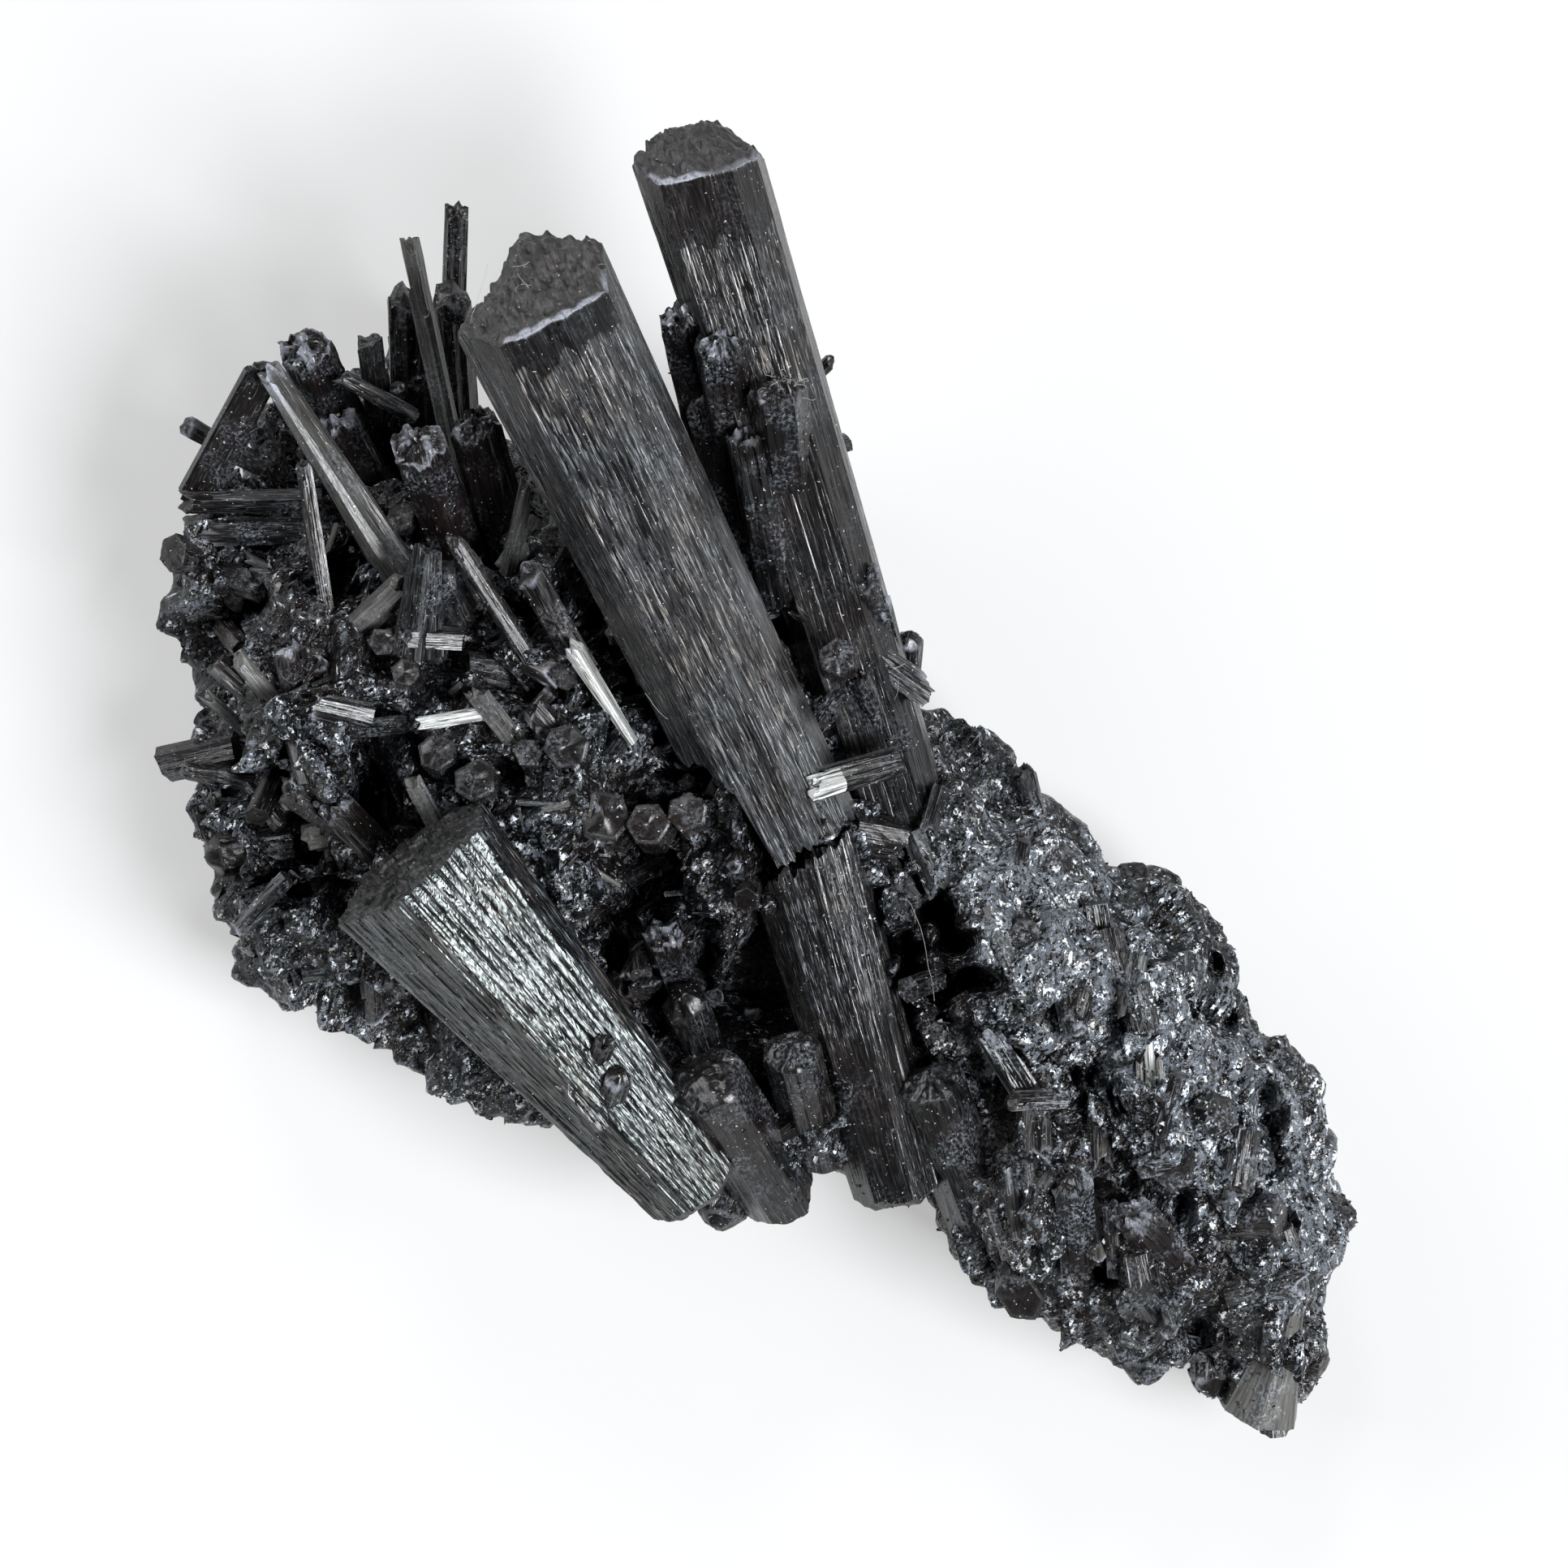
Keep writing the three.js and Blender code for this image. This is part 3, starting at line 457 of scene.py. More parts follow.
# The finishes of the crystals: how strongly lines show, partly painted sheen with painted highlight hairs,
# the noise at which they start, how thick the patina is, the noise over which dust lies, how woolly the tips
# are, the depth of the finest relief in metres, the lines to a millimetre, the refraction and the tint of
# what they reflect.
FINISHES = {
    "schorl_prisms": [1.0, 0.44, 0.15, 0.74, 0.9, 0.00003, (7, 13), REFRACTION, (1, 1, 1, 1)],
    "schorl_broad": [1.0, 0.56, 0.2, 0.74, 0.9, 0.000025, (5, 10), REFRACTION, (0.91, 1.0, 0.98, 1)],
    "schorl_small": [0.5, 0.5, 0.5, 0.72, 0.12, 0.00003, (7, 14), REFRACTION_SMALL, (1, 1, 1, 1)],
    "schorl_tail": [0.7, 0.46, 1.0, 0.72, 0.3, 0.00004, (7, 14), REFRACTION_SMALL, (1, 1, 1, 1)],
}

# The pieces and the material of each.
PIECES = {
    "tall_prisms": "schorl_prisms", "tall_prism_root": "schorl_prisms", "broad_prism": "schorl_broad",
    "sticks": "schorl_small", "mass": "schorl_ground", "tail_mass": "schorl_ground", "fibres": "lint",
    "tail_crystals": "schorl_tail", "stubs": "schorl_small", "broken_crystals": "schorl_small",
    "splinters": "schorl_small", "druse": "schorl_druse",
}
PIECE_OF = {
    "tall_left": "tall_prisms", "tall_right": "tall_prisms", "tall_left_root": "tall_prism_root",
    "broad": "broad_prism",
}

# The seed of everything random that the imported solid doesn't fix.
CLUSTER_SEED = 7

# Lamps: the way towards each, its distance and size in metres, its power and its colour.
LAMPS = {
    "key": [(0.53, -0.24, 0.8), 1.8, (0.8, 0.8), 76, (0.96, 0.98, 1.0)],
    "fill": [(-0.75, 0.4, 0.55), 2.1, (1.6, 1.2), 36, (0.98, 0.99, 1.0)],
    "top": [(-0.1, 0.75, 0.65), 2.4, (0.48, 0.48), 18, (0.97, 0.98, 1.0)],
}

# The colour of the surroundings, and how they darken from low down to high up.
SURROUNDINGS = (0.93, 0.97, 1.0, 1)
DARKENING = (0.05, 0.6, 0.42, 0.05)
FLOOR_HALF = 3.0


# Vectors, random numbers and noise

def unit(vector):
    return vector / np.linalg.norm(vector, axis=-1, keepdims=True)


def smooth(share):
    share = np.clip(share, 0, 1)
    return share * share * (3 - 2 * share)


def seeded(seed):
    """Random numbers from 0 to 1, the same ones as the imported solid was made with."""
    mask = 0xFFFFFFFF
    state = seed

    def draw():
        nonlocal state
        state = (state + 0x6D2B79F5) & mask
        mixed = ((state ^ (state >> 15)) * (state | 1)) & mask
        mixed = (mixed ^ (mixed + (((mixed ^ (mixed >> 7)) * (mixed | 61)) & mask))) & mask
        return (mixed ^ (mixed >> 14)) / 4294967296

    return draw


def lattice(cells, seed):
    """A random number for each whole-number point of a grid in space."""
    x, y, z = (cells[..., k].astype(np.int64) for k in range(3))
    mixed = (x * 73856093) ^ (y * 19349663) ^ (z * 83492791) ^ (seed * 26544357)
    mixed = ((mixed ^ (mixed >> 13)) * 1274126177) & 0xFFFFFFFF
    mixed = ((mixed ^ (mixed >> 15)) * 2246822519) & 0xFFFFFFFF
    return ((mixed >> 8) & 0xFFFF) / 65535.0


def noise(points, size, seed):
    """Smooth noise from 0 to 1 with features of this size."""
    scaled = points / size
    base = np.floor(scaled)
    share = smooth(scaled - base)
    total = 0
    for corner in np.ndindex(2, 2, 2):
        offset = np.array(corner)
        weight = np.prod(np.where(offset, share, 1 - share), axis=-1)
        total = total + weight * lattice(base + offset, seed)
    return total


def facets(points, size, seed):
    """Blocky relief from about 0 to 1: each point lies on the tilted facet whose seed is nearest."""
    scaled = points / size
    base = np.floor(scaled)
    nearest = np.full(points.shape[:-1], np.inf)
    height = np.zeros(points.shape[:-1])
    for offset in np.ndindex(3, 3, 3):
        cell = base + np.array(offset) - 1
        middle = cell + np.stack([lattice(cell, seed + k) for k in range(3)], -1)
        tilt = np.stack([lattice(cell, seed + 3 + k) for k in range(3)], -1) - 0.5
        away = scaled - middle
        distance = np.linalg.norm(away, axis=-1)
        rise = lattice(cell, seed + 6) + 1.3 * (away * tilt).sum(-1)
        closer = distance < nearest
        nearest = np.where(closer, distance, nearest)
        height = np.where(closer, rise, height)
    return height


# Meshes

class Heap:
    """Points, faces and point values of many crystals, gathered into one mesh."""

    def __init__(self):
        self.points = []
        self.faces = []
        self.smooth = []
        self.values = {"grain": [], "cap": [], "tone": [], "frost": []}
        self.count = 0

    def add(self, points, faces, grain, smooth_blocks=(), **values):
        self.points.append(points)
        for k, part in enumerate(faces):
            self.faces.append(part + self.count)
            self.smooth.append(np.full(len(part), k in smooth_blocks))
        self.values["grain"].append(grain)
        for key in ("cap", "tone", "frost"):
            self.values[key].append(np.broadcast_to(values.get(key, 0.0), len(points)))
        self.count += len(points)

    def sample(self, number, rng):
        """Places spread evenly over the four-sided faces, with the face's normal at each."""
        points = np.concatenate(self.points)
        faces = np.concatenate([part for part in self.faces if part.shape[1] == 4])
        corners = points[faces]
        normals = np.cross(corners[:, 2] - corners[:, 0], corners[:, 3] - corners[:, 1])
        areas = np.linalg.norm(normals, axis=1) + 1e-12
        chosen = rng.choice(len(faces), number, p=areas / areas.sum())
        weights = rng.dirichlet((1, 1, 1, 1), number)
        places = (corners[chosen] * weights[..., None]).sum(1)
        return places, normals[chosen] / areas[chosen, None]

    def object(self, name, material):
        mesh = mesh_of(name, np.concatenate(self.points), self.faces)
        for key, parts in self.values.items():
            value = np.concatenate(parts).astype(np.float32)
            kind = "FLOAT_VECTOR" if key == "grain" else "FLOAT"
            attribute = mesh.attributes.new(key, kind, "POINT")
            attribute.data.foreach_set("vector" if key == "grain" else "value", value.ravel())
        mesh.polygons.foreach_set("use_smooth", np.concatenate(self.smooth))
        return piece_of(name, mesh, material)


def mesh_of(name, points, faces):
    """A mesh from points in millimetres in the tables' frame and blocks of faces."""
    mesh = bpy.data.meshes.new(name)
    placed = ((points - MIDDLE) * MM).astype(np.float32)
    loops = np.concatenate([part.ravel() for part in faces]).astype(np.int32)
    sizes = np.concatenate([np.full(len(part), part.shape[1]) for part in faces])
    mesh.vertices.add(len(placed))
    mesh.vertices.foreach_set("co", placed.ravel())
    mesh.loops.add(len(loops))
    mesh.loops.foreach_set("vertex_index", loops)
    mesh.polygons.add(len(sizes))
    mesh.polygons.foreach_set("loop_start", (np.cumsum(sizes) - sizes).astype(np.int32))
    mesh.update(calc_edges=True)
    return mesh


def piece_of(name, mesh, material):
    piece = bpy.data.objects.new(name, mesh)
    bpy.context.scene.collection.objects.link(piece)
    mesh.materials.append(material)
    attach(piece, "root")
    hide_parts("schorl_cluster")
    return piece


# Crystals

def axes_of(tip, foot):
    """Unit vectors up, right and along of a crystal that runs from foot to tip."""
    standing = 0.95
    along = unit(tip - foot)
    aim = np.array([1.0, 0, 0]) if abs(along[2]) > standing else np.array([0, 0, 1.0])
    up = unit(aim - along * (aim @ along))
    return up, np.cross(along, up), along


def section_of(corners, around):
    """Points round a section of radius 1, its corners among them, and where each lies on its side."""
    angles = np.radians(corners)
    reach = np.array([CORNER_REACH.get(corner, 1.0) for corner in corners])
    points = np.stack([np.cos(angles), np.sin(angles)], -1) * reach[:, None]
    ahead = np.roll(points, -1, 0)
    lengths = np.linalg.norm(ahead - points, axis=1)
    counts = np.maximum(2, np.round(around * lengths / lengths.sum()).astype(int))
    side = np.repeat(np.arange(len(corners)), counts)
    share = np.concatenate([np.arange(count) / count for count in counts])
    ring = points[side] + (ahead[side] - points[side]) * share[:, None]
    distance = (np.cumsum(lengths) - lengths)[side] + share * lengths[side]
    return ring, side, share, distance


def ribs(distance, walk, rib, length, rng):
    """How far ribs sink in: they run along a crystal, and end here and there."""
    pitch, depth, run, roundness = rib
    cells = (distance / pitch).astype(int)
    across = 2 * (distance / pitch - cells) - 1
    spans = max(1, int(round(length / run)))
    table = rng.random((spans + 3, cells.max() + 1))
    shift = rng.random(cells.max() + 1)
    place = walk * spans + shift[cells][None, :]
    low = place.astype(int)
    blend = smooth((place - low - 0.35) / 0.3)
    return depth * (table[low, cells] * (1 - blend) + table[low + 1, cells] * blend) + roundness * across ** 2


def broken_foot(upward, sideways):
    """How far the tall left prism's foot stops short: at the crack, and earlier along its left strip."""
    left_strip = -1.45
    crack = 0.37 * upward - 0.1 + 0.18 * sideways
    strip = 5.0 + 1.9 * np.minimum(left_strip - sideways, 1.2)
    return np.where(sideways < left_strip, strip, crack) + 0.3 * np.sin(9 * sideways) * np.sin(4.3 * sideways)


def rounded_foot(upward, sideways):
    """How far a worn foot stops short of its end: most at its rim, and unevenly."""
    coarse = np.sin(2.1 * upward + 1.0) * np.sin(1.7 * sideways + 0.5)
    fine = np.sin(5.3 * sideways + 0.4) * np.sin(4.1 * upward)
    return 0.3 + 0.11 * (upward ** 2 + sideways ** 2) + 0.25 * coarse + 0.1 * fine


def level_foot(upward, sideways):
    """A foot that ends level, since it's buried out of sight."""
    return 0 * upward


def frost_marks(detail, around, below, front, from_rim, cap_place, seed, wear, bare_band):
    """How frosted a crystal's sides and its tip are. Below 0 they are barer than the rest."""
    wavy = noise(around, 0.7, seed + 1)
    if bare_band:
        patchy = smooth((noise(around, 1.6, seed) - 0.2) / 0.3)
        edge = smooth((0.14 + 0.16 * wavy - below) / 0.2)
        bare = smooth((bare_band * (0.7 + 0.5 * wavy) - below) / 0.5) * (1 - edge)
        return front * (edge * patchy - bare), front * patchy * smooth(1 - from_rim / 0.35)
    on_sides = wear * smooth(1 - below / 0.3) * wavy - detail.get("dull", 0.0) * smooth(below / 0.8)
    on_cap = wear * smooth(1 - from_rim / 0.3) * wavy
    crust = smooth((noise(cap_place, 0.45, seed + 2) - 0.4) / 0.3)
    return on_sides, np.maximum(on_cap, detail.get("frosted", 0.0) * crust)


def add_crystal(heap, crystal, detail, rng, tone=None, wear=0.0, bare_band=0.0, painted_shade_below=None,
                foot_line=level_foot):
    """A striated prism with a rough tip, added to the heap."""
    tip, foot, tip_width, foot_width, corners, heights = crystal
    up, right, along = axes_of(tip, foot)
    length = np.linalg.norm(tip - foot)
    ring, side, share, distance = section_of(corners, detail["around"])
    rows, rings = detail["rows"], detail["rings"]
    mean_radius = (tip_width + foot_width) / 4
    distance = distance * mean_radius
    seed = int(rng.integers(1, 9999))
    offset = rng.random(3) * GRAIN_SPREAD

    walk = 1 - (1 - np.linspace(0, 1, rows)[:, None]) ** TIP_CROWDING
    radius = (foot_width + (tip_width - foot_width) * walk) / 2
    relief = sum(ribs(distance, walk, detail[kind], length, rng) for kind in ("coarse", "fine"))
    if bare_band:
        relief = relief * (1 - 0.85 * smooth((bare_band - length * (1 - walk)) / 0.6))
    out = radius - relief + rng.normal(0, detail.get("uneven", UNEVENNESS), relief.shape)
    facing = (ring[:, :1] * up + ring[:, 1:] * right)[:, 2]
    front = smooth((facing - 0.15) / 0.5)

    def rise_of(place, inward):
        """Height of the tip above the foot: sloped as its corners are, domed and chipped."""
        corner = np.array(heights, float)
        sloped = corner[side] * (1 - share) + np.roll(corner, -1)[side] * share
        sloped = sloped * inward + sloped.mean() * (1 - inward)
        dome = detail["dome"] * tip_width / 2 * inward ** 2 - detail.get("bulge", 0.0) * (1 - inward ** 2)
        chips = (facets if "crisp" in detail else noise)(place, detail["chip"], seed) - 0.5
        chips = chips + 0.7 * (noise(place, detail["chip"] / 2, seed) - 0.5)
        calm = 1 - 0.75 * front * inward ** 4 if bare_band else 1
        return length + sloped - dome + detail["jag"] * chips * calm

    def placed(place, rise):
        return foot + rise[..., None] * along + place[..., :1] * up + place[..., 1:2] * right

    across = on_plane(ring * out[..., None])
    low = foot_line(across[0, :, 0], across[0, :, 1])
    high = low + walk * (rise_of(across[-1], 1.0) - low)
    inward = 1 - np.arange(1, rings + 1)[:, None] / rings
    ribbed = inward ** 4
    reach = (out[-1] * ribbed + out[-1].mean() * (1 - ribbed)) * inward
    over = on_plane(ring * reach[..., None])
    rise = rise_of(over, inward)
    foot_rings = 1 if foot_line is level_foot else FOOT_RINGS
    under = across[0] * (np.arange(foot_rings - 1, -1, -1) / foot_rings)[:, None, None]
    base = placed(under, foot_line(under[..., 0], under[..., 1]))
    turned = np.broadcast_to(distance, high.shape)
    grain = np.stack([turned, 0 * high, high], -1) + offset
    cap_grain = np.stack([over[..., 0], over[..., 1], rise], -1) + offset
    tone = rng.random() if tone is None else tone

    below = high[-1] - high
    around = np.stack([distance, distance * 0, distance * 0], -1)
    on_sides, on_cap = frost_marks(detail, around, below, front, (1 - inward) * mean_radius, over, seed,
                                   wear, bare_band)
    # Painted shade: the listed sides lose some frost and lines, which makes them darker.
    on_sides = on_sides - 0.3 * np.isin(side, detail.get("painted_shade_sides", ()))
    # Painted shade: the upward faces darken below this depth under the tip.
    if painted_shade_below is not None:
        on_sides = on_sides - front * smooth((below - painted_shade_below[0]) / painted_shade_below[1])

    places = (placed(across, high), placed(over, rise), base)
    points = np.concatenate([part.reshape(-1, 3) for part in places])
    grain = np.concatenate([part.reshape(-1, 3) for part in (grain, cap_grain, base)])
    frost = np.concatenate([part.ravel() for part in (on_sides, on_cap, 0 * base[..., 0])])
    index = np.arange(len(points)).reshape(-1, len(ring))
    capped = np.repeat(np.arange(len(index)) >= rows, len(ring))
    below_foot = np.concatenate([index[rows + rings:][::-1], index[:1]])
    blocks = [quads_of(part) for part in (index[:rows], index[rows - 1:rows + rings], below_foot)]
    rounded = () if "crisp" in detail else (1,)
    heap.add(points, blocks, grain, smooth_blocks=rounded, cap=capped, tone=tone, frost=frost)


def on_plane(places):
    """Places across a crystal, as points in space at height 0."""
    return np.concatenate([places, 0 * places[..., :1]], -1)


def quads_of(index):
    """Faces between each row of points and the next, closed round."""
    ahead = np.roll(index, -1, 1)
    stacked = np.stack([index[:-1], ahead[:-1], ahead[1:], index[1:]], -1)
    return stacked.reshape(-1, 4)


def even_corners(sides, turn):
    return [turn + 360 * i / sides for i in range(sides)]


def uneven_corners(rng):
    """Corners of a worn section, about six-sided."""
    steps = rng.uniform(0.6, 1.4, rng.integers(5, 8))
    return (rng.random() * 360 + np.cumsum(steps) / steps.sum() * 360).tolist()


def add_bundle(heap, tip, foot, tip_width, foot_width, rng, tone=None):
    """A broken prism with thinner ones grown along it, all within its width."""
    up, right, along = axes_of(tip, foot)
    length = np.linalg.norm(tip - foot)
    corners = uneven_corners(rng)
    heights = rng.uniform(-0.3, 0.3, len(corners)) * tip_width
    main = (tip - along * heights.max(), foot, 0.92 * tip_width, 0.92 * foot_width, corners, heights)
    tone = rng.uniform(0.05, 1) if tone is None else tone
    wear = max(rng.uniform(-0.6, 1.2), 0)
    add_crystal(heap, main, STICK, rng, tone, wear)
    for _ in range(rng.integers(1, 4)):
        turn = rng.uniform(0, 2 * math.pi)
        away = math.cos(turn) * up + math.sin(turn) * right
        size = rng.uniform(0.35, 0.6)
        shift = away * (0.52 - size / 2)
        back = rng.uniform(0.02, 0.4) * length
        corners = uneven_corners(rng)
        heights = rng.uniform(-0.3, 0.3, len(corners)) * tip_width * size
        part = (tip - along * (back + heights.max()) + shift * tip_width, foot + shift * foot_width,
                size * tip_width, size * foot_width, corners, heights)
        add_crystal(heap, part, SIDE_STICK, rng, tone, wear)


def is_inside(point, lump):
    centre, radii = lump
    place = [(p - c) / r for p, c, r in zip(point, centre, radii)]
    return math.dist((0, 0, 0), place) < OTHER_LUMP_MARGIN


def studs_of(name, seed):
    """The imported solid's smaller prisms on one lump, wherever it isn't buried in its neighbours."""
    draw = seeded(seed)
    ground = GROUND["crust" if name.startswith("tail") else "jumble"]
    centre, radii = LUMPS[name]

    def drawn(key):
        low, high = ground[key]
        return low + (high - low) * draw()

    for _ in range(ground["count"]):
        height = 2 * draw() - 1
        turn = 2 * math.pi * draw()
        flat = math.sqrt(1 - height * height)
        direction = np.array([flat * math.cos(turn), flat * math.sin(turn), height])
        lean = np.array([draw() - 0.5, draw() - 0.5, draw() - 0.5]) * ground["lean"]
        width, reach = drawn("width"), drawn("reach")
        twist = 60 * draw()
        slope, side_slope = draw() - 0.5, draw() - 0.5
        start = np.array(centre) + direction * np.array(radii)
        buried = any(other != name and is_inside(start, LUMPS[other]) for other in LUMPS)
        if buried or start[2] < LOWEST_START:
            continue
        axis = unit(direction + lean)
        tip = start + axis * (reach + width * 0.2)
        foot = start - axis * (ROOT + width * 0.4)
        corners = even_corners(6, twist)
        angles = np.radians(corners)
        heights = (width / 2) * (slope * np.cos(angles) + side_slope * np.sin(angles))
        yield tip, foot, width, width, corners, heights


# The mass that the crystals grow from

def ball_of(centre, radii):
    """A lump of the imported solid, smooth: its points and triangles."""
    ball = bmesh.new()
    bmesh.ops.create_icosphere(ball, subdivisions=4, radius=1)
    points = np.array([vertex.co for vertex in ball.verts])
    faces = [[vertex.index for vertex in face.verts] for face in ball.faces]
    ball.free()
    wave = np.sin(5 * points[:, 0] + centre[0]) + np.sin(4 * points[:, 1] + centre[1])
    wave = wave + np.sin(6 * points[:, 2] + centre[2])
    out = 1 + LUMP_ROUGHNESS * (wave / 1.5 + 1)
    return np.array(centre) + points * np.array(radii) * out[:, None], faces


def joined_lumps():
    """The lumps run together: points and normals in millimetres, and four-sided faces."""
    points, faces, count = [], [], 0
    for centre, radii in LUMPS.values():
        ball, triangles = ball_of(centre, radii)
        points.append(ball)
        faces += [[k + count for k in triangle] for triangle in triangles]
        count += len(ball)
    mesh = bpy.data.meshes.new("lumps")
    mesh.from_pydata((np.concatenate(points) * MM).tolist(), [], faces)
    lumps = bpy.data.objects.new("lumps", mesh)
    bpy.context.scene.collection.objects.link(lumps)
    modifier = lumps.modifiers.new("remesh", "REMESH")
    modifier.mode = "VOXEL"
    modifier.voxel_size = VOXEL * MM
    made = lumps.evaluated_get(bpy.context.evaluated_depsgraph_get())
    joined = made.to_mesh()
    place = np.empty(len(joined.vertices) * 3, np.float32)
    joined.vertices.foreach_get("co", place)
    normals = np.empty(len(joined.vertices) * 3, np.float32)
    joined.vertices.foreach_get("normal", normals)
    corners = np.empty(len(joined.loops), np.int32)
    joined.loops.foreach_get("vertex_index", corners)
    made.to_mesh_clear()
    bpy.data.objects.remove(lumps)
    points = place.reshape(-1, 3).astype(float) / MM
    return points, normals.reshape(-1, 3).astype(float), corners.reshape(-1, 4)


def tail_share(points):
    """How far each point lies on the tail, from 0 to 1."""
    gaps = {True: [], False: []}
    for name, (centre, radii) in LUMPS.items():
        gap = np.linalg.norm((points - np.array(centre)) / np.array(radii), axis=-1)
        gaps[name.startswith("tail")].append(gap)
    return smooth((np.min(gaps[False], axis=0) - np.min(gaps[True], axis=0)) / 0.3 + 0.5)


def averaged(values, faces, times):
    """Point values blended with those of their neighbours."""
    for _ in range(times):
        total = np.zeros_like(values)
        count = np.zeros(len(values))
        middles = values[faces].mean(1)
        for k in range(4):
            np.add.at(total, faces[:, k], middles)
            np.add.at(count, faces[:, k], 1)
        values = (total.T / count).T
    return values


def relief_of(points, normals):
    """How far the mass's blocks and grains stand out of it, and its cavities sink in."""
    on_tail = tail_share(points)
    relief = 0
    for kind, share in (("jumble", 1 - on_tail), ("crust", on_tail)):
        stretched = points * np.array([1, 0.6 if kind == "crust" else 1, 1])
        for k, (size, depth) in enumerate(RELIEF[kind]):
            relief = relief + share * depth * (facets(stretched, size, 11 + 30 * k) - 0.62)
    open_side = smooth(normals[:, 2] + 0.6)
    cavity = smooth((0.46 - noise(points, CAVITY_SIZE, 71)) / 0.07) * (1 - on_tail) * open_side
    relief = relief - CAVITY_DEPTH * cavity
    high_up = smooth((points[:, 2] - 1) / 5)
    facing_up = smooth(1.6 * normals[:, 2] + 0.3)
    return relief * (0.4 + 0.6 * high_up) * (0.5 + 0.5 * facing_up)


def roughened(points, normals, faces):
    """The mass with its relief and pits, flat underneath, and how proud each point stands."""
    relief = relief_of(points, normals)
    proud = relief - averaged(relief, faces, 6)
    rough = averaged(points + normals * relief[:, None], faces, 1)
    wander = np.stack([noise(points, 1.5, seed) for seed in (83, 84)], -1) - 0.5
    ragged = 0.6 + 0.8 * noise(points, 0.9, 85)
    for x, y, radius, depth in PITS:
        away = rough[:, :2] - [x, y] + 1.5 * radius * wander
        away = away * (TAIL_PIT_SHAPE if x > TAIL_START else (1, 1))
        away = np.linalg.norm(away, axis=1) / radius * ragged
        sink = depth * smooth(1.3 * (1 - away)) * (normals[:, 2] > 0)
        rough[:, 2] = np.maximum(rough[:, 2] - sink, np.minimum(rough[:, 2], PIT_FLOOR))
    floor_relief = 0.04 + 0.35 * noise(points * np.array([1, 1, 0]), 1.1, 91)
    rough[:, 2] = np.maximum(rough[:, 2], floor_relief)
    return rough, proud


def plainer_below(points, faces):
    """The mass's triangles, fewer on its flat underside, where points are run together."""
    low = points[:, 2] < UNDERSIDE_TOP
    cells = np.floor(points[:, :2] / UNDERSIDE_CELL).astype(np.int64)
    keys = np.where(low, cells[:, 0] * 4096 + cells[:, 1], 10 ** 9 + np.arange(len(points)))
    _, first, place = np.unique(keys, return_index=True, return_inverse=True)
    corners = first[place.ravel()][faces]
    triangles = np.concatenate([corners[:, [0, 1, 2]], corners[:, [0, 2, 3]]])
    a, b, c = triangles.T
    triangles = triangles[(a != b) & (b != c) & (c != a)]
    used, fresh = np.unique(triangles, return_inverse=True)
    return used, fresh.reshape(-1, 3)


def add_mass(heaps, points, proud, faces):
    """The mass itself in two pieces, with the tail apart."""
    used, triangles = plainer_below(points, faces)
    on_tail = tail_share(points[used][triangles].mean(1)) > 0.5
    for name, part in (("mass", ~on_tail), ("tail_mass", on_tail)):
        kept, corners = np.unique(triangles[part], return_inverse=True)
        kept = used[kept]
        heaps[name].add(points[kept], [corners.reshape(-1, 3)], points[kept],
                        frost=patina_and_shade_at(points[kept]), tone=np.clip(0.5 + proud[kept], 0, 1))


def patina_and_shade_at(points):
    """How frosted the ground is: most along the top of the tail; below 0 is painted shade, black ground in
    the hollows.
    """
    away = (points - PATINA_MIDDLE) @ np.array(PATINA_ACROSS)
    along = (points - PATINA_MIDDLE) @ np.array(PATINA_ALONG)
    band = smooth(1 - np.abs(away - 1.0) / 7.5) * smooth((along + 14) / 5) * smooth((26 - along) / 12)
    # Painted shade: the ground goes black around each listed place.
    bare = np.zeros(len(points))
    for x, y, radius in PAINTED_SHADE_GROUND:
        distance = np.hypot(points[:, 0] - x, points[:, 1] - y)
        bare = np.maximum(bare, smooth(1.6 * (1 - distance / radius)))
    return np.clip(band * tail_share(points), 0, 1) - bare


# What lies on the mass and stands in it

def place_in_outline(points):
    """Where each point lies in the lumps' outline from above: 1 on it, 0 in the middle of a lump."""
    reach = np.full(len(points), np.inf)
    for centre, radii in LUMPS.values():
        away = (points[:, :2] - np.array(centre[:2])) / np.array(radii[:2])
        reach = np.minimum(reach, np.linalg.norm(away, axis=1))
    return reach


def has_room(ends, width, margin):
    """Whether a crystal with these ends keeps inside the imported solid's box and the outline."""
    corners = (np.array(CAD_BOX) / MM) + np.array([MIDDLE, MIDDLE])
    boxed = ((ends > corners[0] - BOX_SLACK) & (ends < corners[1] + BOX_SLACK)).all()
    return boxed and ends[:, 2].min() > 0.4 + width / 2 and place_in_outline(ends).max() < margin


def add_lying(heap, place, normal, plan, rng):
    """A broken crystal that lies half sunk in the mass."""
    width = rng.uniform(*plan["width"])
    half = rng.uniform(*plan["length"]) / 2
    axis = unit(np.array(TAIL_GRAIN) + rng.normal(0, 1, 3) * plan["spread"])
    axis = unit(axis - normal * (axis @ normal) * 0.85)
    centre = place - normal * width * rng.uniform(0.15, 0.5)
    ends = np.stack([centre + axis * half, centre - axis * half])
    if has_room(ends, width, plan["margin"]):
        add_bundle(heap, ends[0], ends[1], width, width * rng.uniform(0.8, 1.0), rng)


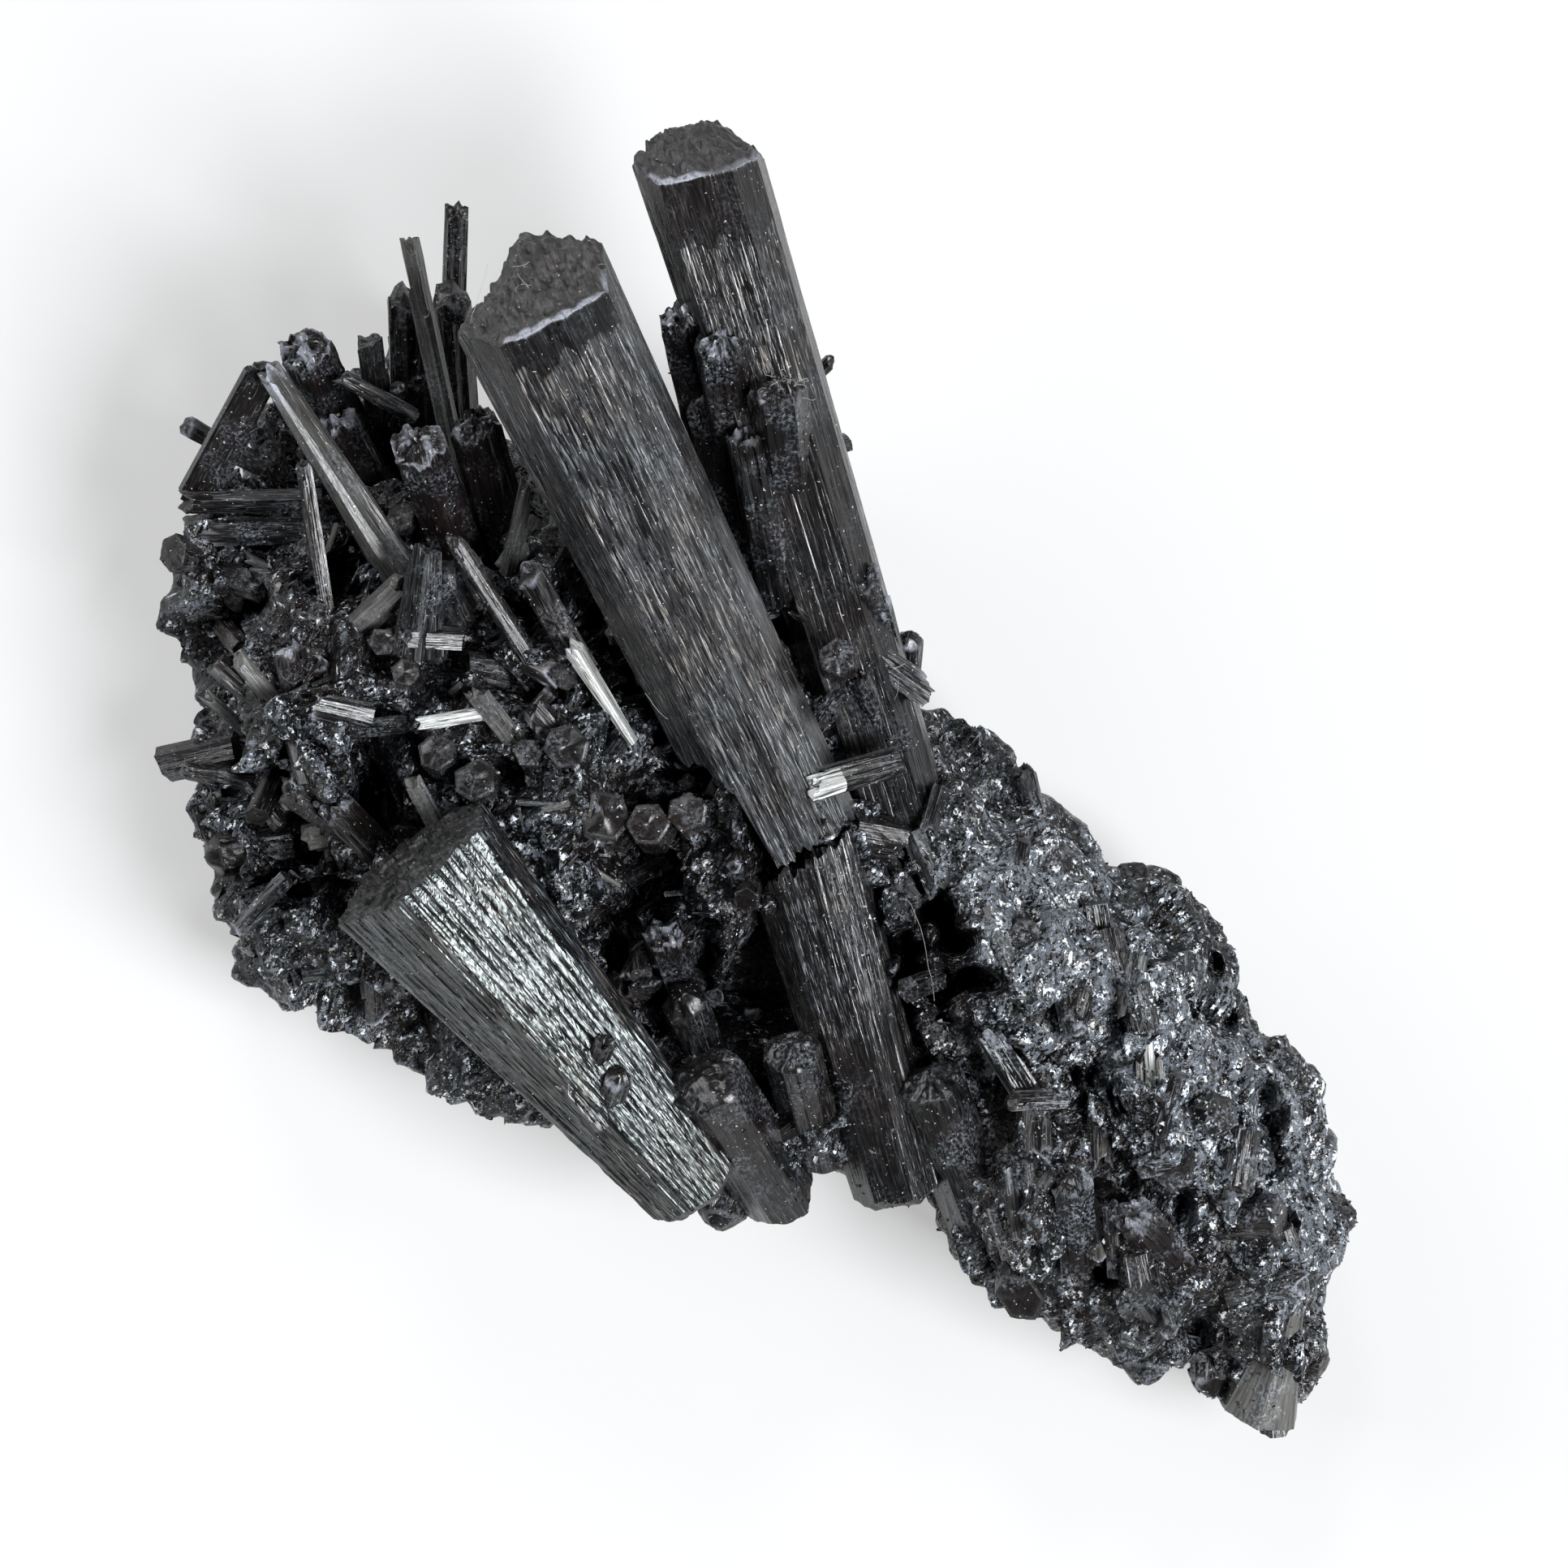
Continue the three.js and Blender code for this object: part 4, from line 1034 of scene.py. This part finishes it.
def add_standing(heap, place, normal, plan, rng):
    """A broken crystal that stands out of the mass."""
    width = rng.uniform(*plan["width"])
    axis = unit(normal + (rng.random(3) - 0.5) * plan["lean"])
    tip = place + axis * rng.uniform(*plan["reach"])
    foot = place - axis * (0.8 + 0.6 * width)
    if has_room(np.stack([tip, foot]), width, plan["margin"]):
        corners = uneven_corners(rng)
        slope = rng.uniform(-0.45, 0.45, 2) * width / 2
        angles = np.radians(corners)
        heights = slope[0] * np.cos(angles) + slope[1] * np.sin(angles)
        wear = max(rng.uniform(-0.6, 1.2), 0)
        add_crystal(heap, (tip, foot, width * 0.92, width, corners, heights), STICK, rng, wear=wear)


def add_broken_crystals(heaps, ground, rng):
    """Broken crystals on the mass: some lie in its surface, some stand."""
    places, normals = ground.sample(BROKEN_SAMPLES, rng)
    on_tail = tail_share(places) > 0.5
    for kind, heap in (("jumble", heaps["broken_crystals"]), ("crust", heaps["tail_crystals"])):
        level = normals[:, 2] > (0.45 if kind == "crust" else -1)
        picks = iter(np.flatnonzero((on_tail == (kind == "crust")) & (places[:, 2] > 1.2) & level))
        for add, plan in ((add_lying, LYING[kind]), (add_standing, STANDING[kind])):
            for _ in range(plan["count"]):
                k = next(picks)
                add(heap, places[k], normals[k], plan, rng)


def add_splinters(heap, ground, rng):
    """Thin prisms that lie about on the jumble, six-sided with slanting ends."""
    count = SPLINTERS["count"]
    places, normals = ground.sample(count * 4, rng)
    inside = place_in_outline(places) < SPLINTERS["margin"]
    keep = np.flatnonzero((tail_share(places) < 0.5) & (places[:, 2] > 2) & inside)[:count]
    places, normals = places[keep], normals[keep]
    count = len(keep)
    along = rng.normal(0, 1, (count, 3))
    along = unit(along - normals * (along * normals).sum(-1, keepdims=True) * 0.6)
    widths = rng.uniform(*SPLINTERS["width"], count)
    halves = rng.uniform(*SPLINTERS["length"], count)[:, None] / 2
    centres = places + normals * (widths * 0.2)[:, None]
    up = unit(np.cross(along, unit(rng.normal(0, 1, (count, 3)))))
    right = np.cross(along, up)
    angles = np.radians(np.arange(6) * 60) + rng.normal(0, 0.12, (count, 6))
    x = np.cos(angles) * widths[:, None] / 2
    y = np.sin(angles) * widths[:, None] / 2
    ring = x[..., None] * up[:, None] + y[..., None] * right[:, None]
    ends = []
    for sign, tilt in zip((-1, 1), rng.uniform(-0.8, 0.8, (2, count, 1))):
        high = sign * halves + tilt * x
        ends.append(centres[:, None] + ring + high[..., None] * along[:, None])
    points = np.concatenate(ends, 1)
    low_cap = [[3, 2, 1, 0], [5, 4, 3, 0]]
    high_cap = [[6, 7, 8, 9], [6, 9, 10, 11]]
    walls = [[i, (i + 1) % 6, 6 + (i + 1) % 6, 6 + i] for i in range(6)]
    faces = (np.array(low_cap + walls + high_cap) + (np.arange(count) * 12)[:, None, None]).reshape(-1, 4)
    turn = np.arange(6) * (widths[:, None] / 2)
    grain = [np.stack([turn, turn * 0, turn * 0 + high], -1) for high in (0 * halves, 2 * halves)]
    grain = np.concatenate(grain, 1) + rng.random((count, 1, 3)) * GRAIN_SPREAD
    tone = np.repeat(rng.random(count), 12)
    heap.add(points.reshape(-1, 3), [faces], grain.reshape(-1, 3), tone=tone)


def add_druse(heap, ground, count, rng):
    """Tiny four-sided crystals bristling from the ground in patches, mostly on the tail."""
    places, normals = ground.sample(count * 4, rng)
    # Fewer grains grow where the ground is painted shade.
    thickness = np.clip(0.16 + 0.84 * patina_and_shade_at(places), 0, 1)
    thickness = thickness * smooth((noise(places, 1.8, 17) - 0.42) / 0.2) * (places[:, 2] > 1)
    places = places[np.flatnonzero(rng.random(len(places)) < thickness)[:count]]
    count = len(places)
    sizes = rng.uniform(*DRUSE_SIZE, count)
    shape = np.array([[1, 1, 1], [1, -1, -1], [-1, 1, -1], [-1, -1, 1]]) * 0.5
    shape = shape + rng.normal(0, 0.22, (count, 4, 3))
    up = unit(rng.normal(0, 1, (count, 3)))
    right = unit(np.cross(up, rng.normal(0, 1, (count, 3))))
    sides = np.stack([up, right, np.cross(up, right)], 1) * (sizes[:, None] * DRUSE_SHAPE)[..., None]
    points = places[:, None] + np.einsum("nij,njk->nik", shape, sides)
    triangles = np.array([[0, 1, 2], [0, 3, 1], [0, 2, 3], [1, 3, 2]])
    faces = (triangles + (np.arange(count) * 4)[:, None, None]).reshape(-1, 3)
    tone = np.repeat(rng.random(count), 4)
    frost = np.repeat(patina_and_shade_at(places), 4)
    heap.add(points.reshape(-1, 3), [faces], points.reshape(-1, 3), tone=tone, frost=frost)


def add_fibre(heap, start, turn, length, curl, rng):
    """A hair-thin curved fibre that lies on the crystals."""
    angles = turn + np.cumsum(rng.normal(curl, abs(curl) + 0.08, FIBRE_STEPS))
    moves = np.stack([np.cos(angles), np.sin(angles), rng.normal(0, 0.12, FIBRE_STEPS)], -1)
    path = np.array(start) + np.cumsum(moves * length / FIBRE_STEPS, 0)
    along = unit(np.gradient(path, axis=0))
    up = unit(np.cross(along, np.array([0.1, 0.2, 1.0])))
    right = np.cross(along, up)
    ring = [path + FIBRE_RADIUS * (math.cos(a) * up + math.sin(a) * right) for a in (0, 2.1, 4.2)]
    points = np.stack(ring, 1)
    index = np.arange(FIBRE_STEPS * 3).reshape(FIBRE_STEPS, 3)
    ends = np.array([index[0][::-1], index[-1]])
    heap.add(points.reshape(-1, 3), [quads_of(index), ends], points.reshape(-1, 3), tone=rng.random())


def add_fibres(heap, rng):
    """Lint: the fibres that show one by one, then short curls on the tips and between the prisms."""
    for x, y, z, turn, length, curl in FIBRES:
        add_fibre(heap, (x, y, z), turn, length, curl, rng)
    for x, y, z, spread, count in LINT:
        for _ in range(count):
            place = (x + rng.normal(0, spread), y + rng.normal(0, spread), z)
            add_fibre(heap, place, rng.uniform(0, 6.3), rng.uniform(0.4, 1.2), rng.normal(0, 0.3), rng)


# Materials

class Shader:
    """A material's node tree, with one call for each node."""

    def __init__(self, name):
        self.material = bpy.data.materials.new(name)
        self.material.use_nodes = True
        self.tree = self.material.node_tree
        self.surface = self.tree.nodes["Principled BSDF"]

    def add(self, kind, inputs=(), **settings):
        node = self.tree.nodes.new(kind)
        for key, value in settings.items():
            setattr(node, key, value)
        for key, value in dict(inputs).items():
            self.set(node, key, value)
        return node

    def set(self, node, key, value):
        if isinstance(value, bpy.types.NodeSocket):
            self.tree.links.new(value, node.inputs[key])
        else:
            node.inputs[key].default_value = value

    def finish(self, **inputs):
        """Set the surface's inputs, with _ for the spaces in their names. Returns the material."""
        for key, value in inputs.items():
            self.set(self.surface, key.replace("_", " "), value)
        return self.material

    def value(self, name):
        return self.add("ShaderNodeAttribute", attribute_name=name).outputs["Fac"]

    def place(self):
        """The place on the cluster, in millimetres."""
        return self.scaled(self.add("ShaderNodeTexCoord").outputs["Object"], (1 / MM,) * 3)

    def vector(self, operation, first, second):
        return self.add("ShaderNodeVectorMath", {0: first, 1: second}, operation=operation).outputs[0]

    def scaled(self, vector, scale):
        return self.vector("MULTIPLY", vector, scale)

    def noise(self, vector, scale, detail=2.0, rough=0.5):
        inputs = {"Vector": vector, "Scale": scale, "Detail": detail, "Roughness": rough}
        return self.add("ShaderNodeTexNoise", inputs).outputs["Fac"]

    def bump(self, relief, distance, **inputs):
        inputs = {"Height": relief, "Strength": 1.0, "Distance": distance, **inputs}
        return self.add("ShaderNodeBump", inputs).outputs[0]

    def ramp(self, value, low, high, start=0.0, end=1.0):
        inputs = {"Value": value, "From Min": low, "From Max": high, "To Min": start, "To Max": end}
        return self.add("ShaderNodeMapRange", inputs, clamp=True).outputs[0]

    def mix(self, share, first, second):
        node = self.add("ShaderNodeMix", data_type="RGBA")
        self.set(node, 0, share)
        for key, value in ((6, first), (7, second)):
            self.set(node, key, value if isinstance(value, bpy.types.NodeSocket) else (*value, 1))
        return node.outputs[2]

    def layered(self, body, *layers):
        """A colour with others laid over it in turn, each with its share."""
        for share, colour in layers:
            body = self.mix(share, body, colour)
        return body

    def joined(self, operation, first, *others):
        for other in others:
            first = self.add("ShaderNodeMath", {0: first, 1: other}, operation=operation).outputs[0]
        return first

    def times(self, *factors):
        return self.joined("MULTIPLY", *factors)

    def plus(self, *terms):
        return self.joined("ADD", *terms)


def schorl(name, streaks, line_start, patina, dust, wool, relief_depth, pitches, refraction, tint):
    """Black tourmaline: streaked along each crystal, frosted at tips and in patches, dusty."""
    shader = Shader(name)
    grain = shader.add("ShaderNodeAttribute", attribute_name="grain").outputs["Vector"]
    cap, tone, frost = (shader.value(key) for key in ("cap", "tone", "frost"))
    place = shader.place()

    streak = shader.noise(shader.scaled(grain, (pitches[0], pitches[0], 0.5)), 1.0, 3.0, 0.6)
    hair = shader.noise(shader.scaled(grain, (pitches[1], pitches[1], 0.9)), 1.0, 1.0, 0.5)
    band = shader.noise(shader.scaled(grain, (1.1, 1.1, 0.16)), 1.0, 1.0, 0.5)
    tuft = shader.noise(shader.scaled(grain, (1.1, 4.2, 1.6)), 1.0, 4.0, 0.7)
    patch = shader.noise(place, 0.4, 3.0, 0.55)
    grit = shader.noise(place, 5.0, 3.0, 0.7)
    speck = shader.noise(place, 5.5, 1.0, 0.5)
    hue = shader.noise(place, 0.22, 2.0, 0.6)

    on_side = shader.ramp(cap, 0.0, 1.0, 1.0, 0.0)
    # Below 0, on bare bands and in painted shade, the lines fade and the crystal goes darker.
    amount = shader.times(shader.ramp(band, 0.32, 0.62, 0.3, 1.0), shader.ramp(frost, -0.6, 0.0, 0.12, 1.0))
    silvery = shader.plus(shader.ramp(tone, 0.12, 0.4, 0.16, 0.0), shader.ramp(tone, 0.4, 0.7, 0.0, -0.08))
    # Streaks along each crystal: partly paler striations, partly painted sheen.
    lines = shader.ramp(shader.plus(streak, silvery), line_start, line_start + LINE_RANGE, 0, streaks)
    lines = shader.times(lines, amount, on_side)
    # Painted highlights: bright hair lines along the striations, in cool and warm tints.
    hair_highlights = shader.times(shader.ramp(hair, 0.58, 0.7, 0, 0.8 * streaks), amount, on_side)
    brownish = shader.times(shader.ramp(tone, 0.55, 1.0, 0, 0.8), shader.ramp(streak, 0.3, 0.6))
    pale = shader.times(shader.ramp(tone, 0.0, 0.1, 1.0, 0.0), shader.ramp(streak, 0.3, 0.55, 0.3, 1.0))
    bleached = shader.times(shader.ramp(tone, -1.0, 0.0, 1.0, 0.0), shader.ramp(streak, 0.4, 0.56))
    film = shader.times(shader.ramp(patch, 0.46, 0.66), shader.ramp(grit, 0.48, 0.62, 0, patina))
    woolly = shader.times(cap, shader.ramp(tuft, 0.46, 0.62), shader.ramp(tone, 0.3, 0.5, 1.0, 0.5), wool)
    rim = shader.times(shader.ramp(frost, 0.1, 0.7), shader.ramp(grit, 0.28, 0.5))
    dusty = shader.ramp(speck, dust, dust + SPECK_RANGE, 0, 0.8)
    glint = shader.mix(shader.ramp(hue, 0.42, 0.58), HIGHLIGHT_COOL, HIGHLIGHT_WARM)
    body = shader.mix(shader.ramp(hue, 0.45, 0.6), DARK, DARK_WARM)
    body = shader.layered(body, (brownish, BROWN), (lines, STREAK_GREY_AND_SHEEN), (pale, PALE), (bleached, WHITE),
                          (hair_highlights, glint), (film, PATINA), (woolly, WOOL), (rim, FROST), (dusty, SPECK))

    rough = shader.ramp(streak, 0.3, 0.8, 0.18, 0.36)
    rough = shader.plus(rough, shader.times(cap, 0.25 * wool), shader.times(film, 0.3))
    ribbed = shader.times(on_side, shader.ramp(amount, 0.0, 0.4, 0.4, 1.0))
    relief = shader.times(shader.plus(streak, shader.times(hair, 0.7)), ribbed)
    relief = shader.plus(relief, shader.times(tuft, cap, 3.5 * wool), shader.times(grit, 0.2))
    return shader.finish(Base_Color=body, Roughness=rough, IOR=refraction, Specular_Tint=tint,
                         Normal=shader.bump(relief, relief_depth))


def rough_ground():
    """The mass: black, grown over with tiny crystals, pale where the patches and the frost-and-shade value
    say, its brightest grains partly painted glints; painted shade keeps it black where that value is below 0.
    """
    shader = Shader("schorl_ground")
    frost = shader.value("frost")
    proud = shader.value("tone")
    place = shader.place()
    warp = shader.noise(place, 3.0, 3.0, 0.7)
    bent = shader.scaled(shader.vector("ADD", place, warp), (1.0, 0.7, 1.0))

    # Each grain draws a random lot: it gives three numbers, and tilts the grain's face.
    lots = shader.add("ShaderNodeTexVoronoi", {"Vector": bent, "Scale": 6.0}).outputs["Color"]
    pick, shade, flash = shader.add("ShaderNodeSeparateColor", {"Color": lots}).outputs
    tilt = shader.scaled(shader.vector("SUBTRACT", lots, (0.5, 0.5, 0.5)), (0.7, 0.7, 0.7))
    facing = shader.vector("ADD", shader.add("ShaderNodeNewGeometry").outputs["Normal"], tilt)
    patch = shader.noise(place, 0.45, 3.0, 0.6)
    cluster = shader.noise(place, 1.3, 3.0, 0.65)
    fine = shader.noise(place, 11.0, 2.0, 0.6)
    speck = shader.noise(place, 7.0, 1.0, 0.5)
    hue = shader.ramp(shader.noise(place, 0.22, 2.0, 0.6), 0.45, 0.6)

    # Where the value is below 0, painted shade, fewer pale grains cover the ground.
    chance = shader.plus(shader.times(patch, 0.7), shader.times(frost, 0.36),
                         shader.ramp(proud, 0.3, 0.8, -0.16, 0.16))
    cover = shader.ramp(chance, 0.42, 0.66)
    bright = shader.times(shader.ramp(chance, 0.36, 0.58, 0.35, 1.0), shader.ramp(cluster, 0.48, 0.62))
    middling = shader.ramp(shader.plus(pick, shader.times(cover, 0.6)), 0.85, 1.0)
    # The white layer: pale grains, partly painted glints of light on them.
    white = shader.ramp(shader.plus(flash, shader.times(bright, 0.42)), 1.0, 1.1)
    body = shader.layered(
        shader.mix(hue, DARK, DARK_WARM),
        (shader.ramp(shade, 0.35, 0.9), shader.mix(hue, GRAIN_COOL, GRAIN_WARM)),
        (middling, shader.mix(fine, GRAIN_GREY, GRAIN_PALE)),
        (white, shader.mix(pick, GRAIN_AND_GLINT_CREAM, GRAIN_AND_GLINT_SKY)),
        (shader.ramp(speck, 0.72, 0.72 + SPECK_RANGE, 0, 0.9), SPECK))
    relief = shader.plus(shader.times(warp, 0.8), shader.times(fine, 0.5))
    return shader.finish(Base_Color=body, Roughness=shader.ramp(shade, 0.2, 0.9, 0.14, 0.42),
                         IOR=REFRACTION_GROUND, Normal=shader.bump(relief, GROUND_RELIEF, Normal=facing))


def druse():
    """Tiny crystals: most of them black glass, some pale."""
    shader = Shader("schorl_druse")
    chance = shader.plus(shader.value("tone"), shader.times(shader.value("frost"), 0.3))
    grit = shader.noise(shader.place(), 9.0, 2.0, 0.6)
    body = shader.layered(
        shader.mix(shader.ramp(chance, 0.5, 0.8), DRUSE_BLACK, DRUSE_GREY),
        (shader.ramp(chance, 0.88, 0.98, 0, 0.9), DRUSE_WHITE),
        (shader.ramp(grit, 0.55, 0.7, 0, 0.4), DRUSE_DUST))
    return shader.finish(Base_Color=body, Roughness=shader.ramp(grit, 0.3, 0.7, 0.12, 0.4),
                         IOR=REFRACTION_SMALL)


def lint():
    """Pale fibre."""
    shader = Shader("lint")
    body = shader.mix(shader.noise(shader.place(), 3.0), *LINT_COLOURS)
    return shader.finish(Base_Color=body, Roughness=0.6)


# The scene around the cluster

def link(name, data):
    made = bpy.data.objects.new(name, data)
    bpy.context.scene.collection.objects.link(made)
    return made


def add_floor():
    """A pale floor that gives off a little light of its own."""
    corners = [(x * FLOOR_HALF, y * FLOOR_HALF, 0) for x, y in ((-1, -1), (1, -1), (1, 1), (-1, 1))]
    mesh = bpy.data.meshes.new("floor")
    mesh.from_pydata(corners, [], [(0, 1, 2, 3)])
    mesh.materials.append(Shader("floor_white").finish(
        Base_Color=(0.22, 0.22, 0.22, 1), Emission_Color=(1, 1, 1, 1), Emission_Strength=0.45, Roughness=0.9))
    link("floor", mesh)


def add_camera():
    data = bpy.data.cameras.new("camera")
    data.sensor_width = SENSOR
    data.lens = SENSOR * CAMERA_DISTANCE / VIEW_WIDTH
    data.clip_start = 0.01
    camera = link("camera", data)
    x, y = VIEW_MIDDLE
    height = PHOTO_SCALE_PLANE + CAMERA_DISTANCE
    camera.location = Vector((x - MIDDLE[0], y - MIDDLE[1], height)) * MM
    bpy.context.scene.camera = camera


def add_lamps():
    """A soft key from the right, a weaker fill from the left and a small one over the top."""
    for name, (direction, distance, size, power, colour) in LAMPS.items():
        data = bpy.data.lights.new(name, "AREA")
        data.shape = "RECTANGLE"
        data.size, data.size_y = size
        data.energy = power
        data.color = colour
        lamp = link(name, data)
        towards = Vector(direction).normalized()
        lamp.location = towards * distance
        lamp.rotation_euler = towards.to_track_quat("Z", "Y").to_euler()


def add_surroundings():
    """Pale surroundings that darken overhead."""
    world = bpy.data.worlds.new("studio")
    world.use_nodes = True
    tree = world.node_tree
    background = tree.nodes["Background"]
    background.inputs["Color"].default_value = SURROUNDINGS
    direction = tree.nodes.new("ShaderNodeTexCoord")
    parts = tree.nodes.new("ShaderNodeSeparateXYZ")
    ramp = tree.nodes.new("ShaderNodeMapRange")
    for key, value in zip(("From Min", "From Max", "To Min", "To Max"), DARKENING):
        ramp.inputs[key].default_value = value
    tree.links.new(direction.outputs["Generated"], parts.inputs[0])
    tree.links.new(parts.outputs["Z"], ramp.inputs["Value"])
    tree.links.new(ramp.outputs[0], background.inputs["Strength"])
    bpy.context.scene.world = world
    bpy.context.scene.view_settings.view_transform = "Standard"


# The cluster

def kind_of(name):
    """The detail that a small prism is modelled with, by what its name says it is."""
    for words, kind in KINDS:
        if any(word in name for word in words):
            return kind
    return STICK


def add_large(heaps, rng):
    for name, (tip, foot, tip_width, foot_width, corners, heights) in LARGE.items():
        crystal = (np.array(tip, float), np.array(foot, float), tip_width, foot_width, corners, heights)
        add_crystal(heaps[PIECE_OF.get(name, "stubs")], crystal, DETAIL.get(name, STUBBY), rng,
                    tone=TONES.get(name, LARGE_TONE), bare_band=BARE_BAND.get(name, 0.0),
                    painted_shade_below=PAINTED_SHADE_BELOW.get(name),
                    foot_line=broken_foot if name == "tall_left" else rounded_foot)


def add_small(heaps, rng):
    for i, (name, row) in enumerate(SMALL.items()):
        tip, foot = np.array(row[0], float), np.array(row[1], float)
        corners = np.array(even_corners(6, TURN_STEP * i)) + rng.normal(0, 4, 6)
        heights = rng.uniform(-0.08, 0.08, 6) * row[2]
        kind = kind_of(name)
        heap = heaps["tail_crystals" if name.startswith("tail") else "sticks" if kind is STICK else "stubs"]
        if kind is STICK:
            add_bundle(heap, tip, foot, row[2], row[-1], rng, TONES.get(name))
        else:
            tone = TONES.get(name, rng.uniform(0.2, 1))
            wear = rng.uniform(0, MOST_HEXAGON_WEAR if kind is HEXAGON else MOST_WEAR)
            add_crystal(heap, (tip, foot, row[2], row[-1], corners, heights), kind, rng, tone, wear)


def add_studs(heaps, rng):
    for i, name in enumerate(LUMPS):
        heap = heaps["tail_crystals" if name.startswith("tail") else "stubs"]
        for crystal in studs_of(name, FIRST_SEED + i):
            add_crystal(heap, crystal, HEXAGON, rng, rng.uniform(0.2, 1), rng.uniform(0, MOST_HEXAGON_WEAR))


def build_cluster():
    rng = np.random.default_rng(CLUSTER_SEED)
    heaps = {name: Heap() for name in PIECES}
    add_large(heaps, rng)
    add_small(heaps, rng)
    add_studs(heaps, rng)
    points, normals, faces = joined_lumps()
    points, proud = roughened(points, normals, faces)
    ground = Heap()
    ground.add(points, [faces], points)
    add_broken_crystals(heaps, ground, rng)
    add_splinters(heaps["splinters"], ground, rng)
    for name, count in DRUSE.items():
        add_druse(heaps["druse"], heaps.get(name, ground), count, rng)
    add_fibres(heaps["fibres"], rng)
    add_mass(heaps, points, proud, faces)
    materials = [schorl(name, *finish) for name, finish in FINISHES.items()]
    made = {material.name: material for material in materials + [rough_ground(), druse(), lint()]}
    for name, material in PIECES.items():
        heaps[name].object(name, made[material])


add_camera()
add_floor()
add_lamps()
add_surroundings()
build_cluster()
